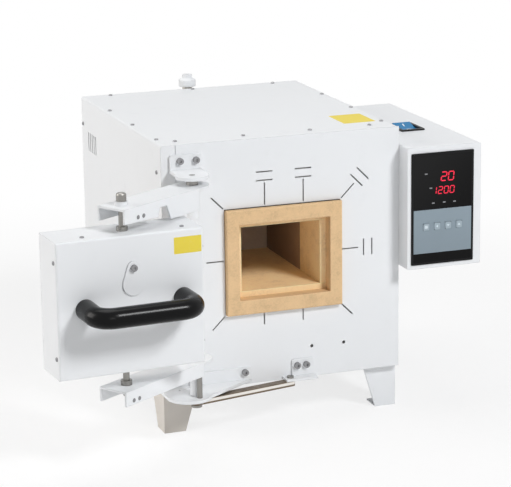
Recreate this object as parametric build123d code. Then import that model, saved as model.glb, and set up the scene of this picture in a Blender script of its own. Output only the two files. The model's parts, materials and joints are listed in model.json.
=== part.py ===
from build123d import *
from math import atan2, cos, degrees, hypot, radians, sin, sqrt
import os

# Box resistance furnace with a swing-out insulated door, millimetres, +Z up.
# While it is drawn, X runs along the front, Y into the furnace, Z = 0 is the bench
# and Y = 0 the face of the front panel. The last step centres the whole on its box.

# Casing
body_width = 320.0
body_depth = 368.0
body_height = 320.0
foot_height = 57.0
casing_sheet = 1.5
casing_bend = 3.0
front_sheet = 2.0
strip_width = 19.0
panel_seam = 0.6
front_return = 30.0
rear_return = 12.0
tray_lip = 12.0

# Feet
foot_front_width = 45.0
foot_side_width = 52.0
foot_toe_width = 28.5
foot_sheet = 2.0
foot_inset = 11.0

# Ceramic mouth and chamber
chamber_width = 107.0
chamber_height = 84.0
chamber_depth = 200.0
chamber_centre_z = 220.0
mouth_step_side = 8.0
mouth_step_height = 7.5
collar_rim_side = 16.5
collar_rim_height = 19.0
collar_proud = 8.5
collar_depth = 17.0
collar_clearance = 0.6
lining = 20.0
front_brick_depth = 72.0
seat_gap = 0.3

# Insulation
insulation_side = 34.0
insulation_top = 50.0
insulation_rear = 60.0

# Heating wires, laid in grooves on the outer side of the heating plates
wire_radius = 1.2
groove_radius = 2.0
wire_rows = 6
wire_pitch = 12.0

# Exhaust
exhaust_pipe_radius = 7.0
exhaust_wall = 1.5
exhaust_rise = 4.0
exhaust_reach = 10.0
exhaust_cap_radius = 12.0
exhaust_cap_height = 13.4
exhaust_top_radius = 7.0
exhaust_lip = 4.0
exhaust_mouth_radius = 2.0

# Controller box
control_width = 103.0
control_depth = 295.0
control_height = 160.0
control_base_z = 193.0
control_proud = 27.6
control_sheet = 1.5
control_bend = 2.0

# Panel instrument
instrument_width = 87.0
instrument_height = 146.8
instrument_left = 5.3
instrument_foot = 5.5
instrument_rim = 1.6
instrument_proud = 1.6
instrument_body_depth = 80.0
instrument_wall = 1.3
window_height = 74.5
keypad_height = 57.4
key_width = 8.0
key_height = 9.0
key_pitch = 15.4
key_travel = 0.5
key_clearance = 0.25
key_lift = 0.8
keypad_thickness = 1.2

# Mains switch
rocker_bezel_x = 33.0
rocker_bezel_y = 48.0
rocker_x = 25.0
rocker_y = 38.0
rocker_tilt = 9.0
rocker_clearance = 0.4

# Hinge: A is the fixed axis on the furnace, B the pivot that carries the door
hinge_ax = -132.0
hinge_ay = -38.0
top_boss_height = 5.0
top_bolt_height = 10.0
arm_open_angle = 32.7
hinge_pin_radius = 4.0
running_fit = 0.05
arm_sheet = 2.5
arm_width = 42.0
upper_arm_tail = 19.0
lower_arm_tail = 25.0
grub_pitch = 10.0
grub_drop = 13.0
arm_depth = 18.0
arm_hub_depth = 42.0
upper_arm_top = 334.5
lower_arm_top = 112.5
hub_wall = 3.5
guide_offset = 13.5
guide_rod_width = 6.0
guide_rod_height = 4.0
guide_eye_radius = 4.8
guide_pin_radius = 2.5
guide_slack = 0.7
door_yaw_open = 3.5

# Hinge brackets and stay
bracket_sheet = 4.0
bracket_width = 42.0
bracket_top = 365.0
flange_gap = 8.0
flange_radius = 20.5
lower_plate_top = 64.0
lower_plate_radius = 29.0
lower_plate_end_x = -45.0
stay_width = 12.0
stay_height = 7.0
stay_washer = 1.6
stay_bracket_x0 = 10.0
stay_foot_x0 = -3.0
stay_bracket_x1 = 40.0
stay_bracket_top = 83.0
stay_anchor_x = 4.5
stay_anchor_y = -10.0
stay_pin_radius = 3.0

# Door
door_width = 184.6
door_height = 168.0
door_base_z = 136.0
door_front = 27.0
door_back = 33.0
door_sheet = 1.5
door_bend = 2.5
door_gap = 0.5
plug_depth = 8.0
plug_clearance = 2.8
plug_taper = 2.0
peephole_radius = 7.0
peephole_x = 3.0
peephole_z = 244.5
handle_spacing = 123.0
handle_radius = 12.5
handle_reach = 50.0
handle_bend = 20.0
handle_x = 4.0
handle_z = 220.5

# Values that follow from the sizes above
half_width = body_width / 2
base_z = foot_height
top_z = foot_height + body_height
inner_half = half_width - casing_sheet
mouth_width = chamber_width + 2 * mouth_step_side
mouth_height = chamber_height + 2 * mouth_step_height
collar_width = mouth_width + 2 * collar_rim_side
collar_height = mouth_height + 2 * collar_rim_height
chamber_front = collar_depth - collar_proud
chamber_rear = chamber_front + chamber_depth
chamber_low = chamber_centre_z - chamber_height / 2
chamber_high = chamber_centre_z + chamber_height / 2
tray_top = base_z + casing_sheet
closed_bx = 0.0
closed_by = -collar_proud - door_gap - door_back
arm_length = hypot(closed_bx - hinge_ax, closed_by - hinge_ay)
arm_closed_angle = degrees(atan2(closed_by - hinge_ay, closed_bx - hinge_ax))
arm_heading = 180 + arm_open_angle
arm_swing = 360 + arm_closed_angle - arm_heading
hinge_bx = hinge_ax + arm_length * cos(radians(arm_heading))
hinge_by = hinge_ay + arm_length * sin(radians(arm_heading))
door_ratio = -(arm_swing + door_yaw_open) / arm_swing
control_left = half_width
control_front = -control_proud
instrument_x0 = control_left + instrument_left
instrument_z0 = control_base_z + instrument_foot

parts = {}


def block(x0, x1, y0, y1, z0, z1):
    """A box between two corners."""
    return Pos((x0 + x1) / 2, (y0 + y1) / 2, (z0 + z1) / 2) * Box(x1 - x0, y1 - y0, z1 - z0)


def rod(x, y, z0, z1, radius):
    """An upright round bar."""
    return Pos(x, y, (z0 + z1) / 2) * Cylinder(radius, z1 - z0)


def bar_y(x, z, y0, y1, radius):
    """A round bar along Y."""
    return Pos(x, (y0 + y1) / 2, z) * Rot(90, 0, 0) * Cylinder(radius, y1 - y0)


def bar_x(y, z, x0, x1, radius):
    """A round bar along X."""
    return Pos((x0 + x1) / 2, y, z) * Rot(0, 90, 0) * Cylinder(radius, x1 - x0)


def slab(sketch, z0, z1):
    """A flat sketch raised between two heights."""
    return Pos(0, 0, z0) * extrude(sketch, z1 - z0)


def rounded_block(x0, x1, y0, y1, z0, z1, axis, radius):
    """A box with the four edges along one axis rounded."""
    body = block(x0, x1, y0, y1, z0, z1)
    return fillet(body.edges().filter_by(axis), radius)


def group(solids):
    """Several separate solids kept as one named piece."""
    return Compound([s for item in solids for s in item.solids()])


screw_shank = 1.5
screw_head = 2.6
screw_head_height = 1.6
hex_head = 4.2
hex_head_height = 4.2
hex_shank = 2.5
hex_key = 2.1
shank_clearance = 0.1


def pan_screw(length):
    """A small pan-head screw, head up, with a cross slot; its head sits on Z = 0."""
    head = Pos(0, 0, screw_head_height / 2) * Cylinder(screw_head, screw_head_height)
    head = fillet(head.edges().filter_by(GeomType.CIRCLE).sort_by(Axis.Z)[-1], screw_head_height * 0.45)
    slot = Pos(0, 0, screw_head_height) * Box(screw_head * 1.3, 0.6, screw_head_height)
    head = head - slot - Rot(0, 0, 90) * slot
    return head + Pos(0, 0, -length / 2) * Cylinder(screw_shank, length)


def socket_screw(length):
    """A hexagon-socket cap screw, head up; its head sits on Z = 0."""
    head = Pos(0, 0, hex_head_height / 2) * Cylinder(hex_head, hex_head_height)
    socket = Pos(0, 0, hex_head_height * 0.45) * extrude(RegularPolygon(hex_key, 6), hex_head_height)
    return head - socket + Pos(0, 0, -length / 2) * Cylinder(hex_shank, length)


# Screw places, given once and used for both the holes and the screws
top_front_screws = [(x, front_sheet + 20.0) for x in (-134.0, -44.0, 46.0, 128.0)]
top_side_screws = [(s * (half_width - 7.5), y) for s in (-1, 1) for y in (41.0, 145.0, 251.0)]
top_rear_screws = [(x, body_depth - rear_return / 2 - casing_sheet) for x in (-120.0, 0.0, 120.0)]
side_screws = [(y, z) for y in (front_sheet + front_return / 2, body_depth - rear_return / 2 - casing_sheet)
               for z in (base_z + 40.0, top_z - 36.0)]
top_screws = top_front_screws + top_side_screws + top_rear_screws
screw_length = 5.0
rail_width = 16.0
rail_length = 260.0


def screw_cutters(radius):
    """Shank holes for the casing screws."""
    top = [rod(x, y, top_z - 8, top_z + 1, radius) for x, y in top_screws]
    side = [bar_x(y, z, s * half_width - 8, s * half_width + 8, radius)
            for y, z in side_screws for s in (-1, 1)]
    return top + side


shank_hole = screw_shank + shank_clearance


# Outer casing: one folded sheet over the top and both sides, with a narrow front strip
def make_casing():
    shell = block(-half_width, half_width, 0, body_depth, base_z, top_z)
    shell = fillet(shell.edges().filter_by(Axis.Y).group_by(Axis.Z)[-1], casing_bend)
    hollow = block(-inner_half, inner_half, -1, body_depth + 1, base_z - 1, top_z - casing_sheet)
    hollow = fillet(hollow.edges().filter_by(Axis.Y).group_by(Axis.Z)[-1], casing_bend - casing_sheet)
    shell -= hollow
    shell -= block(-half_width + strip_width, half_width + 1, -1, front_sheet, base_z - 1, top_z + 1)
    strip = block(-inner_half, -half_width + strip_width, 0, front_sheet, base_z, top_z - casing_sheet)
    shell += strip
    vent_length, vent_height, vent_pitch = 3.0, 26.0, 9.0
    for row in range(2):
        for column in range(5):
            y = body_depth - 34 - column * vent_pitch
            z = top_z - 70 - row * 150
            shell -= block(-half_width - 1, -inner_half + 1, y, y + vent_length, z, z + vent_height)
            shell -= block(inner_half - 1, half_width + 1, y, y + vent_length, z - 60, z - 60 + vent_height)
    for cutter in screw_cutters(shank_hole):
        shell -= cutter
    for x, z in bracket_screws:
        shell -= bar_y(x, z, -1, front_sheet + 1, hex_shank + shank_clearance)
    gland_y, gland_z = gland_place
    shell -= bar_x(gland_y, gland_z, half_width - 4, half_width + 4, gland_radius)
    return shell


# Front panel: a tray with folded returns, slit so that it can grow when hot
slit = 1.6


def slit_cut(x, z, length, angle):
    """A slit through the front panel, centred on a place, turned about Y."""
    return Pos(x, 0, z) * Rot(0, -angle, 0) * Box(length, 4 * front_sheet, slit)


def make_front_panel():
    left = -half_width + strip_width + panel_seam
    panel = block(left, half_width, 0, front_sheet, base_z, top_z)
    side = inner_half - seat_gap
    back = front_sheet + front_return
    frame = block(left, side, front_sheet, back, tray_top + seat_gap, top_z - casing_sheet)
    frame = fillet(frame.edges().filter_by(Axis.Y).group_by(Axis.Z)[-1], casing_bend - casing_sheet)
    frame -= block(left + casing_sheet, side - casing_sheet, 0, back + 1,
                   base_z, top_z - 2 * casing_sheet)
    panel += frame
    cut_w = collar_width + 2 * collar_clearance
    cut_h = collar_height + 2 * collar_clearance
    z = chamber_centre_z
    panel -= block(-cut_w / 2, cut_w / 2, -1, back + 1, z - cut_h / 2, z + cut_h / 2)
    top = z + cut_h / 2
    low = z - cut_h / 2
    right = cut_w / 2
    run = 29.0
    tie = 22.0
    for x in (-24.2, 28.0):
        panel -= slit_cut(x, top + run / 2 + slit, run, 90)
        panel -= slit_cut(x, top + run + 4.5, tie, 0)
        panel -= slit_cut(x, top + run + 15.5, tie, 0)
    for x in (-26.3, 26.7):
        panel -= slit_cut(x, low - 8 - slit, 15, 90)
    panel -= slit_cut(right + 12.5, z + 2.5, 24, 0)
    panel -= slit_cut(110.7, z + 2.5, tie, 90)
    panel -= slit_cut(122.3, z + 2.5, tie, 90)
    panel -= slit_cut(-right - 13, z + 2.5, 23, 0)
    for sx, sz, length in ((1, 1, 25), (-1, 1, 22), (-1, -1, 23), (1, -1, 22)):
        corner_x, corner_z = sx * right, z + sz * cut_h / 2
        reach = (length / 2 + slit) / sqrt(2)
        panel -= slit_cut(corner_x + sx * reach, corner_z + sz * reach, length, 45 * sx * sz)
    for step in (22.5, 31.0):
        panel -= slit_cut(right + step, top + step, 23, -45)
    for x in (38.4, 82.8):
        panel -= bar_y(x, base_z + 40.5, -1, front_sheet + 1, 2.2)
    for cutter in screw_cutters(shank_hole):
        panel -= cutter
    for x, z in bracket_screws + stay_screws + lower_plate_screws:
        panel -= bar_y(x, z, -1, front_sheet + 1, hex_shank + shank_clearance)
    return panel


def make_top_rails():
    """Two folded angles under the top edges of the casing, which take its side screws."""
    side = inner_half - seat_gap
    high = top_z - casing_sheet - seat_gap
    y0 = front_sheet + front_return + 1
    y1 = y0 + rail_length
    rail = block(-side, -side + rail_width, y0, y1, high - rail_width, high)
    corner = rail.edges().filter_by(Axis.Y).group_by(Axis.Z)[-1].sort_by(Axis.X)[0]
    rail = fillet(corner, casing_bend - casing_sheet)
    rail -= block(-side + casing_sheet, side, y0 - 1, y1 + 1, high - rail_width - 1, high - casing_sheet)
    for cutter in screw_cutters(shank_hole):
        rail -= cutter
    return group([rail, mirror(rail, Plane.YZ)])


bracket_screws = [(hinge_ax - 4.5, 357.5), (hinge_ax + 16.5, 357.5)]
stay_screws = [(16.5, 75.0), (29.0, 75.0)]
lower_plate_screws = [(-120.0, 74.0), (-55.0, 74.0)]


def make_rear_panel():
    side = inner_half - seat_gap
    y1 = body_depth
    panel = block(-side, side, y1 - casing_sheet, y1, tray_top + seat_gap, top_z - casing_sheet - seat_gap)
    frame = block(-side, side, y1 - rear_return, y1 - casing_sheet, tray_top + seat_gap,
                  top_z - casing_sheet - seat_gap)
    frame += panel
    frame = fillet(frame.edges().filter_by(Axis.Y).group_by(Axis.Z)[-1], casing_bend - casing_sheet)
    frame -= block(-side + casing_sheet, side - casing_sheet, y1 - rear_return - 1, y1 - casing_sheet,
                   base_z, top_z - 2 * casing_sheet - seat_gap)
    panel = frame
    for row in range(5):
        for s in (-1, 1):
            z = base_z + 30 + row * 9
            panel -= block(s * 80 - 28, s * 80 + 28, y1 - 3, y1 + 1, z, z + 3)
    panel -= bar_y(0, exhaust_z, y1 - 3, y1 + 1, exhaust_pipe_radius + shank_clearance)
    panel -= bar_y(thermocouple_x, thermocouple_z, y1 - 3, y1 + 1, sheath_radius + shank_clearance)
    for cutter in screw_cutters(shank_hole):
        panel -= cutter
    return panel


exhaust_z = 320.0
thermocouple_x = 0.0
thermocouple_z = 245.0
sheath_radius = 4.0


# Base tray: a folded pan that closes the casing from below and carries the feet
def make_base_tray():
    side = inner_half - seat_gap
    y0 = front_sheet
    y1 = body_depth
    tray = block(-side, side, y0, y1, base_z, tray_top)
    for s in (-1, 1):
        x = s * side
        tray += block(min(x, x - s * casing_sheet), max(x, x - s * casing_sheet),
                      front_sheet + front_return + 2, y1 - rear_return - 2, tray_top, tray_top + tray_lip)
    return tray


# Feet: folded sheet angles that taper to the toe, open to the inside
def make_foot(sx, sy):
    """sx, sy give the outer corner; the foot is drawn for the front left corner and mirrored."""
    knee = foot_height - foot_sheet
    front = Polygon((0, 0), (foot_toe_width, 0), (foot_front_width, knee), (0, knee), align=None)
    side = Polygon((0, 0), (foot_toe_width, 0), (foot_side_width, knee), (0, knee), align=None)
    front_plate = Rot(90, 0, 0) * extrude(front, -foot_sheet)
    side_plate = Rot(0, 0, 90) * Rot(90, 0, 0) * extrude(side, foot_sheet)
    cap = block(0, foot_front_width, 0, foot_side_width, foot_height - foot_sheet, foot_height)
    toe = block(0, foot_toe_width, 0, foot_toe_width, 0, foot_sheet)
    foot = front_plate + side_plate + cap + toe
    if sx > 0:
        foot = mirror(foot, Plane.YZ)
    if sy > 0:
        foot = mirror(foot, Plane.XZ)
    y = foot_inset if sy < 0 else body_depth - foot_inset
    return Pos(sx * half_width, y, 0) * foot


# Ceramic mouth: a stepped frame that stands proud of the front panel
def make_collar():
    z = chamber_centre_z
    frame = block(-collar_width / 2, collar_width / 2, -collar_proud, chamber_front,
                  z - collar_height / 2, z + collar_height / 2)
    frame = chamfer(frame.faces().sort_by(Axis.Y)[0].edges(), 1.0)
    frame -= block(-mouth_width / 2, mouth_width / 2, -collar_proud - 1, chamber_front + 1,
                   z - mouth_height / 2, z + mouth_height / 2)
    return frame


def make_chamber():
    hw = chamber_width / 2
    low, high = chamber_low, chamber_high
    front, rear = chamber_front, chamber_rear
    split = front + front_brick_depth
    outer = hw + lining
    parts["chamber_floor"] = block(-outer, outer, front, rear + lining, low - lining, low)
    parts["chamber_roof"] = block(-outer, outer, front, rear + lining, high, high + lining)
    parts["front_wall_bricks"] = group([
        block(min(s * hw, s * outer), max(s * hw, s * outer), front, split, low, high) for s in (-1, 1)])
    plates = []
    wires = []
    first = chamber_centre_z - wire_pitch * (wire_rows - 1) / 2
    y0, y1 = split + 9, rear - 9
    for s in (-1, 1):
        plate = block(min(s * hw, s * outer), max(s * hw, s * outer), split, rear, low, high)
        path_points = []
        for row in range(wire_rows):
            ends = (y0, y1) if row % 2 == 0 else (y1, y0)
            path_points += [(y, first + row * wire_pitch) for y in ends]
        wire = serpentine(path_points, s * (outer - groove_radius), wire_radius)
        groove = serpentine(path_points, s * (outer - groove_radius), groove_radius)
        plates.append(plate - groove)
        wires.append(wire)
    parts["heating_plates"] = group(plates)
    parts["heating_wires"] = group(wires)
    rear_brick = block(-hw, hw, rear, rear + lining, low, high)
    sheath_hole = sheath_radius + seat_gap
    rear_brick -= bar_y(thermocouple_x, thermocouple_z, rear - 1, rear + lining + 1, sheath_hole)
    rear_brick -= bar_y(0, high - 14, rear - 1, rear + lining + 1, exhaust_pipe_radius)
    parts["rear_brick"] = rear_brick


def serpentine(points, x, radius):
    """A round wire that runs to and fro in a plane X = x, with half-round turns at its ends."""
    pieces = []
    for (ya, za), (yb, zb) in zip(points, points[1:]):
        if za == zb:
            pieces.append(bar_y(x, za, min(ya, yb), max(ya, yb), radius))
        else:
            bend = (zb - za) / 2
            ring = Pos(x, ya, za + bend) * Rot(0, 90, 0) * Torus(bend, radius)
            far = 4 * bend
            middle = chamber_front + front_brick_depth + (chamber_depth - front_brick_depth) / 2
            ya_low, ya_high = (ya, ya + far) if ya > middle else (ya - far, ya)
            pieces.append(ring & block(x - far, x + far, ya_low, ya_high, za - far, zb + far))
    wire = pieces[0]
    for piece in pieces[1:]:
        wire += piece
    return wire


def make_insulation():
    outer_x = chamber_width / 2 + lining
    wide = outer_x + insulation_side
    rear = chamber_rear + lining
    low, high = chamber_low - lining, chamber_high + lining
    parts["insulation_base"] = block(-wide, wide, chamber_front, rear + insulation_rear, tray_top, low)
    parts["insulation_sides"] = group([
        block(min(s * outer_x, s * wide), max(s * outer_x, s * wide), chamber_front, rear, low, high)
        for s in (-1, 1)])
    roof = block(-wide, wide, chamber_front, rear + insulation_rear, high, high + insulation_top)
    back = block(-wide, wide, rear, rear + insulation_rear, low, high)
    back -= bar_y(thermocouple_x, thermocouple_z, rear - 1, rear + insulation_rear + 1,
                  sheath_radius + seat_gap)
    elbow_y = rear + insulation_rear / 2
    flue_z = chamber_high - 14
    back -= bar_y(0, flue_z, rear - 1, elbow_y + 4, exhaust_pipe_radius)
    riser = rod(0, elbow_y, flue_z - 3, exhaust_z, exhaust_pipe_radius - 1)
    outlet = bar_y(0, exhaust_z, elbow_y, rear + insulation_rear + 1, exhaust_pipe_radius + seat_gap)
    parts["insulation_roof"] = roof
    parts["insulation_rear"] = back - riser
    parts["insulation_roof"] = roof - riser - outlet


# Exhaust: a bent pipe out of the rear wall with a tapered cap that shows above the casing
def make_exhaust():
    y0 = chamber_rear + lining + insulation_rear / 2 + exhaust_pipe_radius
    y1 = body_depth + exhaust_reach + exhaust_pipe_radius
    tip = top_z + exhaust_rise
    turn = exhaust_pipe_radius + 2
    route = FilletPolyline((0, y0, exhaust_z), (0, y1, exhaust_z), (0, y1, tip), radius=turn)
    start = Plane(origin=(0, y0, exhaust_z), z_dir=(0, 1, 0))
    outer = sweep(start * Circle(exhaust_pipe_radius), path=route)
    inner = sweep(start * Circle(exhaust_pipe_radius - exhaust_wall), path=route)
    parts["exhaust_pipe"] = outer - inner
    bore = exhaust_pipe_radius + 0.05
    skirt = tip - 3
    crown = tip + exhaust_cap_height
    shoulder = skirt + 9
    profile = Polyline((bore, skirt), (exhaust_cap_radius, skirt), (exhaust_cap_radius, shoulder),
                       (exhaust_top_radius, crown - exhaust_lip), (exhaust_top_radius, crown),
                       (exhaust_mouth_radius, crown), (exhaust_mouth_radius, tip),
                       (bore, tip), (bore, skirt))
    cap = revolve(make_face(Plane.XZ * profile), Axis.Z)
    parts["exhaust_cap"] = Pos(0, y1, 0) * cap


def make_thermocouple():
    tip = chamber_rear - 25
    end = body_depth + 3
    sheath = bar_y(thermocouple_x, thermocouple_z, tip, end, sheath_radius - 0.5)
    hub = bar_y(thermocouple_x, thermocouple_z, body_depth, body_depth + 18, 13)
    hub = chamfer(hub.edges().filter_by(GeomType.CIRCLE).sort_by(Axis.Y)[-1], 2)
    hub -= bar_y(thermocouple_x, thermocouple_z, body_depth - 1, end, sheath_radius - 0.45)
    parts["thermocouple"] = group([sheath, hub])


# Controller box on the right, with the panel instrument, the switch and the power parts
def make_controller():
    x0, x1 = control_left, control_left + control_width
    y0, y1 = control_front, control_front + control_depth
    z0, z1 = control_base_z, control_base_z + control_height
    t = control_sheet
    box = rounded_block(x0, x1, y0, y1, z0, z1, Axis.Y, control_bend)
    box -= block(x0 + t, x1 - t, y0 + t, y1 + 1, z0 + t, z1 - t)
    ix0, ix1 = instrument_x0, instrument_x0 + instrument_width
    iz0, iz1 = instrument_z0, instrument_z0 + instrument_height
    rim = instrument_rim
    box -= block(ix0 + rim, ix1 - rim, y0 - 1, y0 + t + 1, iz0 + rim, iz1 - rim)
    bx, by = rocker_place
    box -= block(bx - rocker_bezel_x / 2 + 2, bx + rocker_bezel_x / 2 - 2,
                 by - rocker_bezel_y / 2 + 2, by + rocker_bezel_y / 2 - 2, z1 - t - 1, z1 + 1)
    gland_y, gland_z = gland_place
    box -= bar_x(gland_y, gland_z, x0 - 1, x0 + t + 1, gland_radius)
    parts["controller_box"] = box

    back = block(x0 + t + seat_gap, x1 - t - seat_gap, y1 - t, y1, z0 + t + seat_gap, z1 - t - seat_gap)
    inlet_x, inlet_z = (x0 + x1) / 2, z0 + 40
    back -= block(inlet_x - inlet_half_x, inlet_x + inlet_half_x, y1 - t - 1, y1 + 1,
                  inlet_z - inlet_half_z, inlet_z + inlet_half_z)
    for row in range(6):
        z = z1 - 30 - row * 8
        back -= block(x0 + 22, x1 - 22, y1 - t - 1, y1 + 1, z, z + 3)
    parts["controller_back"] = back

    socket = block(inlet_x - inlet_half_x, inlet_x + inlet_half_x, y1 - 22, y1 + 0.5,
                   inlet_z - inlet_half_z, inlet_z + inlet_half_z)
    socket += rounded_block(inlet_x - inlet_half_x - 3, inlet_x + inlet_half_x + 3, y1, y1 + 3,
                            inlet_z - inlet_half_z - 3, inlet_z + inlet_half_z + 3, Axis.Y, 3)
    socket -= rounded_block(inlet_x - 12, inlet_x + 12, y1 - 16, y1 + 4, inlet_z - 8, inlet_z + 8, Axis.Y, 4)
    for dx, dz in ((-7, -2.5), (7, -2.5), (0, 2.5)):
        socket += block(inlet_x + dx - 1, inlet_x + dx + 1, y1 - 17, y1 - 6,
                        inlet_z + dz - 2, inlet_z + dz + 2)
    parts["mains_inlet"] = socket

    bezel = rounded_block(ix0, ix1, y0 - instrument_proud, y0, iz0, iz1, Axis.Y, 1.2)
    body = block(ix0 + rim + 0.3, ix1 - rim - 0.3, y0, y0 + instrument_body_depth, iz0 + rim + 0.3,
                 iz1 - rim - 0.3)
    case = bezel + body
    w = instrument_wall
    case -= block(ix0 + rim + w, ix1 - rim - w, y0 - instrument_proud - 1, y0 + instrument_body_depth - w,
                  iz0 + rim + w, iz1 - rim - w)
    parts["instrument_case"] = case
    face_x0, face_x1 = ix0 + rim + w + 0.1, ix1 - rim - w - 0.1
    face_top = iz1 - rim - w - 0.1
    face_low = iz0 + rim + w + 0.1
    keypad_z1 = instrument_z0 + instrument_height - window_height
    keypad_z0 = keypad_z1 - keypad_height
    deep = y0 + 3.0
    front = y0 - instrument_proud
    display = block(face_x0, face_x1, front, deep, keypad_z1, face_top)
    keypad = block(face_x0, face_x1, front, deep, keypad_z0, keypad_z1)
    apron = block(face_x0, face_x1, front, deep, face_low, keypad_z0)
    parts["instrument_windows"] = group([display, apron])
    kz = keypad_z1 - 22.5
    for index in range(4):
        kx = ix0 + 20.3 + index * key_pitch
        well = block(kx - key_width / 2 - key_clearance, kx + key_width / 2 + key_clearance,
                     front - 1, deep - 0.6, kz - key_height / 2 - key_clearance,
                     kz + key_height / 2 + key_clearance)
        keypad -= well
        key = block(kx - key_width / 2, kx + key_width / 2, front - key_lift,
                    deep - 0.6 - key_travel - 0.2, kz - key_height / 2, kz + key_height / 2)
        key = fillet(key.edges().filter_by(Axis.Y), 1.5)
        parts[f"key_{index + 1}"] = key
    parts["keypad"] = keypad
    board = block(ix0 + rim + w + 0.3, ix1 - rim - w - 0.3, deep + 3, deep + 4.6,
                  iz0 + rim + w + 0.3, iz1 - rim - w - 0.3)
    for x in (ix0 + 12, ix1 - 12):
        for z in (iz0 + 14, iz1 - 14):
            board += bar_y(x, z, deep, deep + 3, 2)
    parts["circuit_board"] = board


inlet_half_x = 14.0
inlet_half_z = 12.0
rocker_place = (control_left + 53.0, 98.0)
gland_place = (body_depth - 150.0, control_base_z + 60.0)
gland_radius = 9.0


def make_switch():
    bx, by = rocker_place
    z = control_base_z + control_height
    half_x, half_y = rocker_bezel_x / 2, rocker_bezel_y / 2
    frame = rounded_block(bx - half_x, bx + half_x, by - half_y, by + half_y, z, z + 2, Axis.Z, 1.5)
    frame += block(bx - half_x + 2.3, bx + half_x - 2.3, by - half_y + 2.3, by + half_y - 2.3, z - 18, z)
    well_x = rocker_x / 2 + rocker_clearance
    well_y = rocker_y / 2 + rocker_clearance
    frame -= block(bx - well_x, bx + well_x, by - well_y, by + well_y, z - 13, z + 3)
    axle_z = z - 3
    axle = 1.5
    frame += bar_x(by, axle_z, bx - well_x - 0.5, bx + well_x + 0.5, axle)
    parts["switch_bezel"] = frame
    half = rocker_y / 2
    tilt = radians(rocker_tilt)
    crown = 3.0
    rise = half * sin(tilt)
    profile = Polygon((-half + 0.6, 0.2), (0, -0.8), (half - 1.0, 0.2 + rise * 1.3), (half - 1.6, -2.2),
                      (3.6, -7.4), (-3.6, -7.4), (-half + 1.6, -2.2), align=None)
    rocker = Rot(0, 0, 90) * Rot(90, 0, 0) * extrude(profile, rocker_x / 2, both=True)
    rocker = Pos(bx, by, axle_z + crown) * rocker
    rocker -= bar_x(by, axle_z, bx - rocker_x, bx + rocker_x, axle + 4 * running_fit)
    parts["rocker"] = rocker


def make_power_parts():
    x0 = control_left + control_sheet
    z0 = control_base_z + control_sheet
    plate_y = control_front + 110
    relay = block(x0 + 12, x0 + 57, plate_y, plate_y + 58, z0, z0 + 8)
    relay += block(x0 + 14, x0 + 55, plate_y + 4, plate_y + 54, z0 + 8, z0 + 30)
    parts["power_relay"] = relay
    rail = block(x0 + 10, x0 + 90, plate_y + 84, plate_y + 96, z0, z0 + 6)
    for index in range(8):
        x = x0 + 13 + index * 9.4
        rail += block(x, x + 8, plate_y + 80, plate_y + 100, z0 + 6, z0 + 28)
    parts["terminal_block"] = rail


# Hinge metalwork
def make_upper_bracket():
    flange_under = upper_arm_top + flange_gap
    plate_x0 = hinge_ax - flange_radius + 3
    plate = block(plate_x0, plate_x0 + bracket_width, -bracket_sheet, 0, flange_under, bracket_top)
    plate = fillet(plate.edges().filter_by(Axis.Y).group_by(Axis.Z)[-1], 3)
    tongue = Pos(hinge_ax, hinge_ay) * Circle(flange_radius)
    neck = Pos(plate_x0 + bracket_width / 2 - 1, hinge_ay / 2) * Rectangle(bracket_width - 2, -hinge_ay)
    flange = slab(tongue + neck, flange_under, flange_under + bracket_sheet)
    bracket = plate + flange
    bracket -= rod(hinge_ax, hinge_ay, flange_under - 1, flange_under + bracket_sheet + 1,
                   hinge_pin_radius)
    for x, z in bracket_screws:
        bracket -= bar_y(x, z, -bracket_sheet - 1, 1, hex_shank + shank_clearance)
    parts["upper_hinge_bracket"] = bracket
    pin = rod(hinge_ax, hinge_ay, upper_arm_top - arm_hub_depth + 3, flange_under + bracket_sheet,
              hinge_pin_radius)
    pin += rod(hinge_ax, hinge_ay, upper_arm_top + seat_gap, flange_under, hinge_pin_radius + hub_wall)
    parts["upper_hinge_pin"] = pin


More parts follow.
